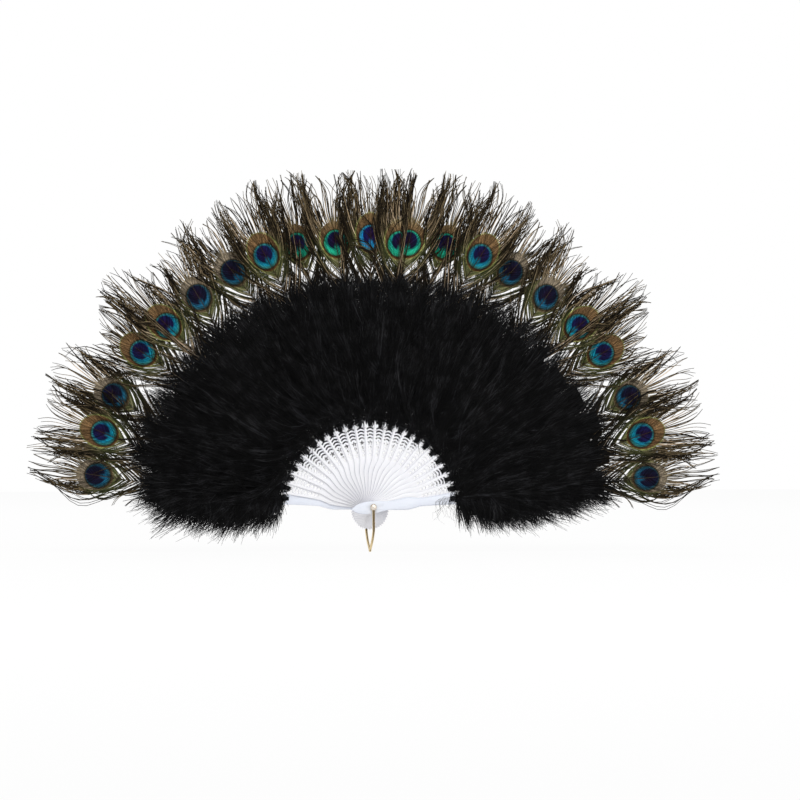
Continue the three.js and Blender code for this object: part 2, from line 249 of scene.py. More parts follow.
def through(keys: Array, count: int) -> Array:
    """A uniform Catmull-Rom curve through key points, m by d, sampled evenly in its parameter."""
    last = len(keys) - 1
    place = np.linspace(0, last, count)
    index = np.minimum(place.astype(int), last - 1)
    share = (place - index)[:, None]
    before, here = keys[np.maximum(index - 1, 0)], keys[index]
    after, beyond = keys[index + 1], keys[np.minimum(index + 2, last)]
    slope, next_slope = (after - before) / 2, (beyond - here) / 2
    square, cube = share**2, share**3
    return (
        (2 * here - 2 * after + slope + next_slope) * cube
        + (-3 * here + 3 * after - 2 * slope - next_slope) * square
        + slope * share
        + here
    )


def walked(turns: Array, length: Array) -> tuple[Array, Array]:
    """Adds up even steps along many paths that turn on their way.

    Each step runs along the mean of the angles at its two ends.

    Args:
        turns: Angles at every station in degrees, n by s.
        length: Length of every path.

    Returns:
        How far ahead and how far aside of its start every station lies, each n by s.
    """
    angle = np.radians((turns[:, 1:] + turns[:, :-1]) / 2)
    step = (length / angle.shape[1])[:, None]
    from_start = ((0, 0), (1, 0))
    ahead = np.pad(np.cumsum(np.cos(angle) * step, 1), from_start)
    aside = np.pad(np.cumsum(np.sin(angle) * step, 1), from_start)
    return ahead, aside


# Shader trees


class Graph:
    """Adds nodes to a shader tree and links them."""

    def __init__(self, tree: bpy.types.NodeTree) -> None:
        """Keeps the tree of a material or of a group."""
        self.tree = tree

    def add(self, kind: str, **settings: object) -> bpy.types.Node:
        """Adds a node of a kind, named without its ShaderNode prefix, and sets properties on it."""
        node = self.tree.nodes.new("ShaderNode" + kind)
        for key, value in settings.items():
            setattr(node, key, value)
        return node

    def feed(self, socket: Socket, value: object) -> None:
        """Links an input socket to an output socket, or sets its own number or colour."""
        if isinstance(value, Socket):
            self.tree.links.new(value, socket)
        else:
            socket.default_value = value

    def math(self, operation: str, *values: object) -> Socket:
        """Output of a Math node with Blender's name of its operation, on up to three sockets or numbers."""
        node = self.add("Math", operation=operation)
        for socket, value in zip(node.inputs, values):
            self.feed(socket, value)
        return node.outputs[0]

    def blend(self, share: object, low: object, high: object) -> Socket:
        """Mixes two colours: low where the share is 0, and high where it is 1."""
        node = self.add("Mix", data_type="RGBA")
        self.feed(node.inputs["Factor"], share)
        self.feed(node.inputs[6], low)
        self.feed(node.inputs[7], high)
        return node.outputs[2]

    def spread(self, value: object, low: float, high: float, start: float, end: float) -> Socket:
        """A smooth step from start, where the value is low, to end, where it is high."""
        node = self.add("MapRange", interpolation_type="SMOOTHSTEP")
        for socket, part in zip(node.inputs, (value, low, high, start, end)):
            self.feed(socket, part)
        return node.outputs[0]

    def ramp(self, value: object, stops: list[tuple[float, Colour]]) -> Socket:
        """Reads a colour off a ramp at a place from 0 to 1; its stops are places and colours in order."""
        node = self.add("ValToRGB")
        bar = node.color_ramp.elements
        while len(bar) < len(stops):
            bar.new(0.5)
        for element, (place, colour) in zip(bar, stops):
            element.position = place
            element.color = colour
        self.feed(node.inputs[0], value)
        return node.outputs[0]

    def noise(self, vector: object, scale: float, detail: float) -> Socket:
        """A noise between 0 and 1, with the scale in waves per unit of the vector and detail in octaves."""
        node = self.add("TexNoise")
        self.feed(node.inputs["Vector"], vector)
        node.inputs["Scale"].default_value = scale
        node.inputs["Detail"].default_value = detail
        return node.outputs[0]

    def number(self, name: str) -> Socket:
        """Reads a named number of the mesh."""
        return self.add("Attribute", attribute_name=name).outputs["Fac"]

    def object_place(self) -> Socket:
        """Reads the place on the piece in the fan's own frame."""
        return self.add("TexCoord").outputs["Object"]


def new_group(
    name: str, inputs: dict[str, tuple[str, object]], outputs: dict[str, str]
) -> tuple[Graph, dict]:
    """Starts a shader node group with named sockets.

    Args:
        name: Name of the group.
        inputs: Socket type and default value by name.
        outputs: Socket type by name.

    Returns:
        The group's graph, and its sockets inside the group by name.
    """
    tree = bpy.data.node_groups.new(name, "ShaderNodeTree")
    for key, (kind, value) in inputs.items():
        socket = tree.interface.new_socket(key, in_out="INPUT", socket_type="NodeSocket" + kind)
        if value is not None:
            socket.default_value = value
    for key, kind in outputs.items():
        tree.interface.new_socket(key, in_out="OUTPUT", socket_type="NodeSocket" + kind)
    source = tree.nodes.new("NodeGroupInput")
    sink = tree.nodes.new("NodeGroupOutput")
    sockets = {key: source.outputs[key] for key in inputs} | {key: sink.inputs[key] for key in outputs}
    return Graph(tree), sockets


def mottle_group(coarse_share: float = 0.7, window: Pair = (0.3, 0.7)) -> bpy.types.NodeTree:
    """Builds the cloudy variation shared by plastic, metal and ribbon: two noises, coarse and fine, mixed.

    Args:
        coarse_share: Weight of the coarse noise; the fine one has the rest.
        window: Part of the mixed noise that is stretched to 0 to 1.

    Returns:
        The group, with Place, Coarse and Fine in, and Value and Grain out.
    """
    graph, at = new_group(
        "cloudy_variation",
        {"Place": ("Vector", None), "Coarse": ("Float", 60.0), "Fine": ("Float", 900.0)},
        {"Value": "Float", "Grain": "Float"},
    )
    noises = []
    for key in ("Coarse", "Fine"):
        node = graph.add("TexNoise")
        graph.feed(node.inputs["Vector"], at["Place"])
        graph.feed(node.inputs["Scale"], at[key])
        node.inputs["Detail"].default_value = 3.0
        noises.append(node.outputs[0])
    coarse = graph.math("MULTIPLY", noises[0], coarse_share)
    both = graph.math("MULTIPLY_ADD", noises[1], 1 - coarse_share, coarse)
    node = graph.add("MapRange")
    for socket, value in zip(node.inputs, (both, *window, 0.0, 1.0)):
        graph.feed(socket, value)
    graph.feed(at["Value"], node.outputs[0])
    graph.feed(at["Grain"], noises[1])
    return graph.tree


# Eyes of the tail feathers


@dataclass(frozen=True)
class Oval:
    """An oval of an eye, in millimetres: centre along the shaft, half sizes, and softness of its edge."""

    centre: float
    half_length: float
    half_width: float
    soft: float


class EyePart(Enum):
    """The ovals that an eye is drawn from, from the outside in."""

    HALO = Oval(-3.0, 23, 19, 0.4)
    RIM = Oval(4.6, 20.6, 16.0, 0.05)
    BRONZE = Oval(4.2, 20.0, 14.9, 0.04)
    DARK_LINE = Oval(-0.3, 13.9, 13.1, 0.07)
    VERGE = Oval(0.0, 12.4, 11.7, 0.06)
    RING = Oval(0.3, 10.6, 9.9, 0.12)
    KIDNEY = Oval(2.3, 8.7, 8.0, 0.1)
    NOTCH = Oval(-6.6, 5.9, 2.4, 0.4)
    HEART = Oval(2.0, 5.4, 3.6, 0.6)


@dataclass(frozen=True)
class EyeColours:
    """Colours of one kind of eye.

    They run from its heart out to its rim. Then come its shaft's colour, the size of its kidney, how clearly
    the rim arches over its top, and the dark line and the olive halo that all eyes share.
    """

    heart: Colour
    kidney: Colour
    ring: Colour
    ring_top: Colour
    verge: Colour
    bronze: Colour
    copper: Colour
    rim: Colour
    shaft: Colour = linear(58, 44, 30)
    pupil: float = 1.0
    arch: float = 0.12
    dark_line: Colour = linear(52, 44, 26)
    halo: Colour = linear(98, 106, 64)


class EyeTint(Enum):
    """The tints of the tail feathers' eyes: three seen from the face, and one from the dull side."""

    TEAL = EyeColours(
        linear(38, 15, 42), linear(20, 20, 58), linear(38, 178, 140), linear(16, 124, 134),
        linear(36, 150, 116), linear(96, 63, 37), linear(114, 91, 62), linear(172, 180, 104),
    )
    AZURE = EyeColours(
        linear(44, 17, 54), linear(24, 24, 82), linear(44, 162, 220), linear(24, 128, 192),
        linear(48, 142, 168), linear(96, 64, 38), linear(118, 93, 63), linear(176, 182, 108), arch=0.5,
    )
    DEEP = EyeColours(
        linear(36, 15, 46), linear(20, 21, 66), linear(20, 136, 160), linear(16, 102, 142),
        linear(46, 112, 108), linear(100, 64, 37), linear(118, 91, 61), linear(168, 176, 102), arch=0.5,
    )
    DUSK = EyeColours(
        linear(32, 16, 36), linear(17, 18, 42), linear(32, 102, 134), linear(22, 50, 76),
        linear(36, 74, 84), linear(100, 84, 62), linear(136, 124, 106), linear(110, 114, 72),
        shaft=linear(70, 61, 50), pupil=1.14,
    )


class EyeDrawing:
    """Draws the eye of a tail feather from nested ovals, as a shader group.

    The group takes Along and Across in millimetres from the eye's centre, the barb's own colour as Barb and
    its Tone, and gives the Color. Fades and levels are where a change starts and ends, and its values there.
    """

    halo_fade: Row = (-4.0, 16.0, 0.75, 0.2)
    rim_fade: Row = (2.0, 18.0, 0.9)
    copper_fade: Row = (-12.0, 18.0, 0.0, 1.0)
    bronze_fade: Row = (14.0, 24.0, 1.0)
    bronze_left: Pair = (0.35, 1.2)
    ring_fade: Row = (-11.0, 7.0, 0.0, 1.0)
    heart_share: float = 0.75
    lines_meet: float = 36.0
    line_fineness: float = 80.0
    line_drift: float = 0.04
    line_levels: Row = (0.32, 0.68, 0.48, 1.52)
    tone_levels: Row = (0.0, 1.0, 0.45, 1.4)

    def __init__(self, tint: EyeTint) -> None:
        """Starts the group of an eye with the colours of a tint."""
        self.shade = tint.value
        self.graph, self.at = new_group(
            "eye_" + tint.name.lower(),
            {
                "Along": ("Float", 0.0),
                "Across": ("Float", 0.0),
                "Barb": ("Color", None),
                "Tone": ("Float", 0.5),
            },
            {"Color": "Color"},
        )

    def mask(self, part: EyePart, size: float = 1.0) -> Socket:
        """Mask of one oval, 1 inside and 0 outside.

        It steps smoothly where the length of ((along - centre) / half length, across / half width) passes 1.

        Args:
            part: The oval.
            size: Factor on its half sizes.

        Returns:
            The mask.
        """
        graph, oval = self.graph, part.value
        ahead = graph.math("SUBTRACT", self.at["Along"], oval.centre)
        along = graph.math("DIVIDE", ahead, oval.half_length * size)
        across = graph.math("DIVIDE", self.at["Across"], oval.half_width * size)
        square = graph.math("MULTIPLY_ADD", along, along, graph.math("MULTIPLY", across, across))
        return graph.spread(graph.math("SQRT", square), 1 - oval.soft, 1 + oval.soft, 1.0, 0.0)

    def along(self, low: float, high: float, start: float, end: float) -> Socket:
        """A number that changes smoothly along the shaft, from start at low to end at high."""
        return self.graph.spread(self.at["Along"], low, high, start, end)

    def surround(self) -> Socket:
        """Colour round the eye: olive halo over the barbs, green rim, bronze oval and dark line."""
        graph, shade = self.graph, self.shade
        halo = graph.math("MULTIPLY", self.mask(EyePart.HALO), self.along(*self.halo_fade))
        colour = graph.blend(halo, self.at["Barb"], shade.halo)
        rim = graph.math("MULTIPLY", self.mask(EyePart.RIM), self.along(*self.rim_fade, shade.arch))
        colour = graph.blend(rim, colour, shade.rim)
        bronze = graph.blend(self.along(*self.copper_fade), shade.bronze, shade.copper)
        least, by_arch = self.bronze_left
        fade = self.along(*self.bronze_fade, least + by_arch * shade.arch)
        colour = graph.blend(graph.math("MULTIPLY", self.mask(EyePart.BRONZE), fade), colour, bronze)
        return graph.blend(self.mask(EyePart.DARK_LINE), colour, shade.dark_line)

    def pupil(self, colour: Socket) -> Socket:
        """Lays the eye's middle over a colour: the verge, the ring, the notched kidney and its warm heart."""
        graph, shade = self.graph, self.shade
        ring = graph.blend(self.along(*self.ring_fade), shade.ring, shade.ring_top)
        colour = graph.blend(self.mask(EyePart.VERGE), colour, shade.verge)
        colour = graph.blend(self.mask(EyePart.RING), colour, ring)
        outside_notch = graph.math("SUBTRACT", 1.0, self.mask(EyePart.NOTCH))
        kidney = graph.math("MULTIPLY", self.mask(EyePart.KIDNEY, shade.pupil), outside_notch)
        colour = graph.blend(kidney, colour, shade.kidney)
        heart = graph.math("MULTIPLY", self.mask(EyePart.HEART), self.heart_share)
        return graph.blend(heart, colour, shade.heart)

    def streaks(self) -> Socket:
        """Brightness of the fine lines along the barbs: a noise of across / (along + lines_meet)."""
        graph = self.graph
        fan = graph.math("DIVIDE", self.at["Across"], graph.math("ADD", self.at["Along"], self.lines_meet))
        lines = graph.add("CombineXYZ")
        graph.feed(lines.inputs[0], graph.math("MULTIPLY", fan, self.line_fineness))
        graph.feed(lines.inputs[1], graph.math("MULTIPLY", self.at["Along"], self.line_drift))
        return graph.spread(graph.noise(lines.outputs[0], 1.0, 2.0), *self.line_levels)

    def build(self) -> bpy.types.NodeTree:
        """Puts the eye together; the lines and the barb's own tone vary its brightness."""
        graph = self.graph
        colour = self.pupil(self.surround())
        level = graph.math("MULTIPLY", self.streaks(), graph.spread(self.at["Tone"], *self.tone_levels))
        streaked = graph.add("HueSaturation")
        graph.feed(streaked.inputs["Value"], level)
        graph.feed(streaked.inputs["Color"], colour)
        graph.feed(self.at["Color"], streaked.outputs[0])
        return graph.tree


# Finishes


@dataclass(frozen=True)
class Finish:
    """A finish of the fan; each kind builds its own material."""

    name: str

    def start(self) -> tuple[bpy.types.Material, Graph, bpy.types.Node]:
        """Makes an empty node material, and gives it with its graph and its Principled BSDF."""
        material = bpy.data.materials.new(self.name)
        material.use_nodes = True
        return material, Graph(material.node_tree), material.node_tree.nodes["Principled BSDF"]


@dataclass(frozen=True)
class Moulded(Finish):
    """Cloudy solid surfaces: moulded plastic, metal and ribbon.

    Where an edge tone is given, it covers the faces that turn away from the fan's plane: it fades out while
    the share of the normal along Y grows over edge_turn. The edge tone is painted light: painted shade along
    the sticks' edges, and a painted highlight along the sides of the gilt wire.
    """

    pale: Colour
    dark: Colour
    roughness: Pair
    metallic: float = 0.0
    coarse: float = 60.0
    fine: float = 900.0
    bump: float = 0.00004
    bump_strength: float = 0.4
    # A tone of painted light for the edges: painted shade on the plastic, a painted highlight on the gilt
    # wire.
    edge: Colour | None = None
    edge_turn: Pair = (0.55, 0.95)

    def material(self, mottle: bpy.types.NodeTree) -> bpy.types.Material:
        """Builds the material: colour, roughness and bumps follow the shared variation group."""
        material, graph, shader = self.start()
        cloud = graph.add("Group", node_tree=mottle)
        graph.feed(cloud.inputs["Place"], graph.object_place())
        cloud.inputs["Coarse"].default_value = self.coarse
        cloud.inputs["Fine"].default_value = self.fine
        colour = graph.blend(cloud.outputs["Value"], self.dark, self.pale)
        # The edge tone is painted light: painted shade on the sticks' edges, a painted highlight on the
        # wire's sides.
        if self.edge:
            split = graph.add("SeparateXYZ")
            graph.feed(split.inputs[0], graph.add("NewGeometry").outputs["True Normal"])
            rim = graph.spread(graph.math("ABSOLUTE", split.outputs[1]), *self.edge_turn, 1.0, 0.0)
            colour = graph.blend(rim, colour, self.edge)
        graph.feed(shader.inputs["Base Color"], colour)
        rough = graph.spread(cloud.outputs["Value"], 0.0, 1.0, *self.roughness)
        graph.feed(shader.inputs["Roughness"], rough)
        shader.inputs["Metallic"].default_value = self.metallic
        lift = graph.add("Bump")
        lift.inputs["Strength"].default_value = self.bump_strength
        lift.inputs["Distance"].default_value = self.bump
        graph.feed(lift.inputs["Height"], cloud.outputs["Grain"])
        graph.feed(shader.inputs["Normal"], lift.outputs["Normal"])
        return material


@dataclass(frozen=True)
class BlackDown(Finish):
    """Soft black down, a little lighter towards some tips, with painted shade at the roots."""

    wisp_scale: float = 90.0
    wisp_levels: Row = (0.36, 0.64, 0.7, 1.25)
    roughness: float = 0.62
    specular: float = 0.1

    def material(self) -> bpy.types.Material:
        """Builds the material: a tone for each fibre, broken up by a noise, and painted shade that darkens
        its root.
        """
        material, graph, shader = self.start()
        wisps = graph.spread(graph.noise(graph.object_place(), self.wisp_scale, 2.0), *self.wisp_levels)
        tone = graph.math("MULTIPLY", graph.number("tone"), wisps)
        along = graph.number("along")
        # The root ramp is darker than the tip ramp: painted shade deep in the tufts.
        root = graph.ramp(
            tone, [(0.0, linear(4, 4, 5)), (0.4, linear(11, 11, 12)), (1.0, linear(48, 49, 54))]
        )
        tip = graph.ramp(
            tone, [(0.0, linear(7, 7, 8)), (0.4, linear(20, 20, 21)), (1.0, linear(68, 68, 70))]
        )
        graph.feed(shader.inputs["Base Color"], graph.blend(along, root, tip))
        shader.inputs["Roughness"].default_value = self.roughness
        shader.inputs["Specular IOR Level"].default_value = self.specular
        return material


@dataclass(frozen=True)
class EyedFeather(Finish):
    """A tail feather's barbs: dark browns with olive and tan strands, and the eye drawn over them."""

    tint: EyeTint
    span: float
    base: Pair
    quill: Colour = linear(222, 208, 182)
    quill_fade: Pair = (-66.0, -30.0)
    roughness: float = 0.58
    specular: float = 0.08

    def material(self) -> bpy.types.Material:
        """Builds the material: the eye is read at the place on the flat map, in millimetres."""
        material, graph, shader = self.start()
        split = graph.add("SeparateXYZ")
        graph.feed(split.inputs[0], graph.add("UVMap", uv_map=BAKE_MAP).outputs[0])
        along = graph.math("MULTIPLY_ADD", split.outputs[0], self.span, self.base[0])
        across = graph.math("MULTIPLY_ADD", split.outputs[1], self.span, self.base[1])
        tone = graph.number("tone")
        barb = graph.ramp(
            tone,
            [
                (0.0, linear(22, 17, 12)),
                (0.3, linear(54, 45, 31)),
                (0.55, linear(100, 87, 62)),
                (0.78, linear(146, 127, 101)),
                (1.0, linear(214, 194, 172)),
            ],
        )
        eye = graph.add("Group", node_tree=EyeDrawing(self.tint).build())
        for key, value in (("Along", along), ("Across", across), ("Barb", barb), ("Tone", tone)):
            graph.feed(eye.inputs[key], value)
        upper = graph.spread(along, *self.quill_fade, 0.0, 1.0)
        shaft = graph.blend(upper, self.quill, self.tint.value.shaft)
        graph.feed(shader.inputs["Base Color"], graph.blend(graph.number("shaft"), eye.outputs[0], shaft))
        shader.inputs["Roughness"].default_value = self.roughness
        shader.inputs["Specular IOR Level"].default_value = self.specular
        return material


# The plastic's grey-blue edge tone is painted shade: lines along the sticks' edges where they overlap.
PLASTIC = Moulded(
    "white_moulded_plastic", linear(252, 252, 254), linear(246, 246, 251), (0.42, 0.3),
    coarse=38.0, fine=700.0, edge=linear(154, 154, 172),
)
# A copy of the white plastic with painted shade: darker and bluer for the guards, with painted shade on its
# edges too.
SHADED_GUARD_PLASTIC = Moulded(
    "guard_plastic_painted_shade", linear(238, 242, 251), linear(230, 235, 247), (0.42, 0.3),
    coarse=38.0, fine=700.0, edge=linear(164, 166, 184),
)
# The gilt wire's dark browns are a painted dark reflection down its middle, and its pale edge tone is a
# painted highlight along its sides.
GILT = Moulded(
    "gilt_wire", linear(92, 72, 44), linear(58, 45, 28), (0.34, 0.2),
    metallic=1.0, coarse=260.0, fine=2400.0, edge=linear(226, 204, 160),
)
RIVET = Moulded(
    "bright_rivet", linear(240, 232, 222), linear(204, 192, 178), (0.3, 0.14),
    metallic=1.0, coarse=300.0, fine=2600.0,
)
RIBBON = Moulded(
    "linking_ribbon", linear(242, 240, 234), linear(214, 210, 202), (0.8, 0.62),
    coarse=420.0, fine=3600.0, bump=0.00012,
)
DOWN = BlackDown("black_down")


# The fan


@dataclass(frozen=True)
class Layout:
    """Where the sticks of the open fan stand: evenly about the rivet, each in its own layer along Y."""

    count: int = 25
    opening: float = math.radians(168)
    pitch: float = 1.3 * MM

    @property
    def middle(self) -> int:
        """Number of the middle stick, which the others turn about."""
        return (self.count - 1) // 2

    def angle(self, stick: int) -> float:
        """Angle of a stick above +X; stick 0 is the rear guard on the left."""
        return math.pi / 2 + (self.middle - stick) * self.opening / (self.count - 1)

    def layer(self, stick: int) -> float:
        """Middle plane of a stick along Y; the rear guard is farthest back."""
        return (self.middle - stick) * self.pitch

    def body(self, stick: int) -> str:
        """Name of the body that a stick is."""
        ends = {0: "rear_guard", self.count - 1: "front_guard"}
        return ends.get(stick, f"stick_{stick:02d}")

    def fold(self, stick: int) -> str:
        """Name of the joint whose share a piece on this stick folds with."""
        if stick in (self.middle, self.count - 1):
            return "fan_fold"
        return self.body(stick) + "_fold"

    def is_guard(self, stick: int) -> bool:
        """Whether a stick is one of the two outer guards."""
        return stick in (0, self.count - 1)

    def place(self, stick: int, local: Array) -> Array:
        """Carries points from a stick's own frame into the fan's.

        Args:
            stick: The stick.
            local: Points (along, across, towards the front) on the last axis.

        Returns:
            The points in the fan's frame.
        """
        turn = self.angle(stick)
        along, across, depth = local[..., 0], local[..., 1], local[..., 2]
        return np.stack(
            [
                along * math.cos(turn) - across * math.sin(turn),
                self.layer(stick) - depth,
                along * math.sin(turn) + across * math.cos(turn),
            ],
            -1,
        )

    def carry(
        self, piece: bpy.types.Object, stick: int, slot: Slot, keep: float | None = None, aside: float = 0.0
    ) -> None:
        """Rides a piece on its stick; a piece that is not rigid gets its own copy of its mesh.

        Args:
            piece: The finished piece.
            stick: The stick that carries it.
            slot: Not used.
            keep: Share of its depth for the folded fan, which is not used, or None for a rigid piece; a piece
                with a share gets its own copy of its mesh.
            aside: Not used.
        """
        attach(piece, self.body(stick))
        if keep is not None:
            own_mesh(piece)


@dataclass
class Sticks:
    """The moulded sticks: gourd shaped blades with a lens shaped tail, pierced, and slim ribs beyond.

    Sizes are in millimetres. Pairs are a place along the stick and half a width there; the rivet is at 0.
    """

    layout: Layout
    thickness: float = 1.0
    guard_thickness: float = 1.6
    bevel: float = 0.34
    edge: tuple[Pair, ...] = (
        (-22.5, 0), (-16, 4.2), (-8, 6), (2, 6), (14, 4.4), (24, 5.2), (34, 6.1), (42, 5.2), (49, 4.2),
        (66, 5.0), (85.5, 6.2),
    )
    edge_points: int = 64
    crown_dip: Pair = (80.8, 3.6)
    rib_start: Pair = (83.4, 2.8)
    rib_end: Pair = (205, 1.9)
    fork: Pair = (38, 0.95)
    rivet_hole: float = 1.9
    ribbon_slot: Triple = (89, 0.95, 1.85)
    dots: tuple[Pair, ...] = ((51.4, 1.2), (55.0, 1.3), (58.7, 1.4))
    star: Triple = (63.4, 2.7, 1.2)
    arcs: tuple[Pair, ...] = ((67.8, 2.9), (71.0, 3.1), (74.2, 3.3), (77.4, 3.5))
    arc_rise: float = 1.3
    arc_thickness: float = 1.25
    arc_taper: float = 0.5
    arc_points: int = 9
    rivet_points: int = 28
    dot_points: int = 16
    star_points: int = 10
    panel: Triple = (6, 80, 0.7)
    panel_rise: float = 26
    panel_least: float = 0.4
    sharp: float = 50

    def edge_curve(self) -> Array:
        """One edge of the blade from the tail's point to its corner, along and across."""
        return through(np.array(self.edge, float), self.edge_points)

    def outline(self) -> Array:
        """The whole outline, along and across: one edge, the crown, the forked rib, and all mirrored back."""
        depth, half = self.fork
        end = self.rib_end[0]
        rib = [self.crown_dip, self.rib_start, self.rib_end, (end, half), (end - depth, half)]
        side = np.concatenate([self.edge_curve(), np.array(rib)])
        return np.concatenate([side, side[:0:-1] * [1, -1]])

    def round_hole(self, place: float, radii: Row, count: int) -> Array:
        """A hole round a place on the middle line, its points alternating between the radii."""
        turn = np.arange(count) * 2 * math.pi / count
        reach = np.resize(np.array(radii), count)
        return np.stack([place + reach * np.cos(turn), reach * np.sin(turn)], -1)

    def arc_hole(self, place: float, half: float) -> Array:
        """A bar across the blade bowed outwards: a parabola, and the same one set inwards and narrower."""
        across = np.linspace(-1, 1, self.arc_points)
        outer = np.stack([place + self.arc_rise * (1 - across**2), half * across], -1)
        inner = np.stack([outer[:, 0] - self.arc_thickness, (half - self.arc_taper) * across], -1)
        return np.concatenate([outer, inner[::-1]])

    def holes(self, pierced: bool) -> list[Array]:
        """All holes of a stick; a guard has only those for the rivet and the ribbon."""
        place, length, width = self.ribbon_slot
        corners = np.array([[-1, -1], [1, -1], [1, 1], [-1, 1]])
        rivet_hole = self.round_hole(0, (self.rivet_hole,), self.rivet_points)
        loops = [rivet_hole, corners * [length, width] + [place, 0]]
        if pierced:
            loops += [self.round_hole(at, (radius,), self.dot_points) for at, radius in self.dots]
            loops.append(self.round_hole(self.star[0], self.star[1:], self.star_points))
            loops += [self.arc_hole(at, half) for at, half in self.arcs]
        return loops

    def plate(self, loops: list[Array], low: float, high: float) -> tuple[Array, Faces]:
        """A flat plate with eased edges from an outline and its holes.

        Blender fills a flat curve between its loops, which no grid of two parameters can.

        Args:
            loops: The outline and the holes, in millimetres.
            low: Back face, in millimetres towards the front.
            high: Front face.

        Returns:
            Points (along, across, towards the front) in metres, and the faces.
        """
        curve = bpy.data.curves.new("plate", "CURVE")
        curve.dimensions, curve.fill_mode = "2D", "BOTH"
        curve.extrude = (high - low) / 2 - self.bevel
        curve.bevel_depth, curve.bevel_resolution, curve.offset = self.bevel, 1, -self.bevel
        for loop in loops:
            spline = curve.splines.new("POLY")
            spline.points.add(len(loop) - 1)
            spline.points.foreach_set("co", np.pad(loop, ((0, 0), (0, 2))).astype(np.float32).ravel())
            spline.use_cyclic_u = True
        shape = bpy.data.objects.new("plate", curve)
        bpy.context.scene.collection.objects.link(shape)
        mesh = bpy.data.meshes.new_from_object(shape.evaluated_get(bpy.context.evaluated_depsgraph_get()))
        bpy.data.objects.remove(shape)
        bpy.data.curves.remove(curve)
        work = bmesh.new()
        work.from_mesh(mesh)
        bmesh.ops.remove_doubles(work, verts=work.verts, dist=1e-4)
        bmesh.ops.recalc_face_normals(work, faces=work.faces)
        bmesh.ops.triangulate(work, faces=work.faces)
        work.to_mesh(mesh)
        work.free()
        points = np.empty(len(mesh.vertices) * 3, np.float32)
        mesh.vertices.foreach_get("co", points)
        corners = np.empty(len(mesh.loops), np.int32)
        mesh.loops.foreach_get("vertex_index", corners)
        bpy.data.meshes.remove(mesh)
        points = points.reshape(-1, 3).astype(float) + [0, 0, (low + high) / 2]
        return points * MM, [corners.reshape(-1, 3)]

    def panel_loop(self) -> Array:
        """Outline of the raised panel along a guard's blade."""
        start, end, inset = self.panel
        edge = self.edge_curve()
        edge = edge[(edge[:, 0] > start) & (edge[:, 0] < end)] - [0, inset]
        return np.concatenate([edge, edge[::-1] * [1, -1]])

    def guard_panel(self, low: float, high: float) -> tuple[Array, Faces]:
        """The raised panel between two depths; from the rivet on it rises along a smooth step."""
        points, faces = self.plate([self.panel_loop()], low, high)
        step = smooth_step((points[:, 0] / MM - self.panel[0]) / self.panel_rise)
        points[:, 2] *= self.panel_least + (1 - self.panel_least) * step
        return points, faces

    def build(self, material: bpy.types.Material, shaded_guard_material: bpy.types.Material) -> None:
        """Builds every stick in its place.

        Args:
            material: The plastic of the inner sticks.
            shaded_guard_material: The same plastic with painted shade, darker and bluer, for the two guards.
        """
        half = self.thickness / 2
        inner = self.plate([self.outline(), *self.holes(True)], -half, half)
        guard = self.plate([self.outline(), *self.holes(False)], -half, half)
        rise = self.guard_thickness - half
        panels = {
            0: self.guard_panel(-rise, 0.0),
            self.layout.count - 1: self.guard_panel(0.0, rise),
        }
        for stick in range(self.layout.count):
            points, faces = joined(guard, panels[stick]) if self.layout.is_guard(stick) else inner
            body = self.layout.body(stick)
            piece = mesh_object(body + "_moulding", self.layout.place(stick, points), faces, sharp=self.sharp)
            piece.data.materials.append(shaded_guard_material if self.layout.is_guard(stick) else material)
            self.layout.carry(piece, stick, Slot.PLASTIC)
            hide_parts(body)
            LOG.info("%s: %d faces", piece.name, len(piece.data.polygons))


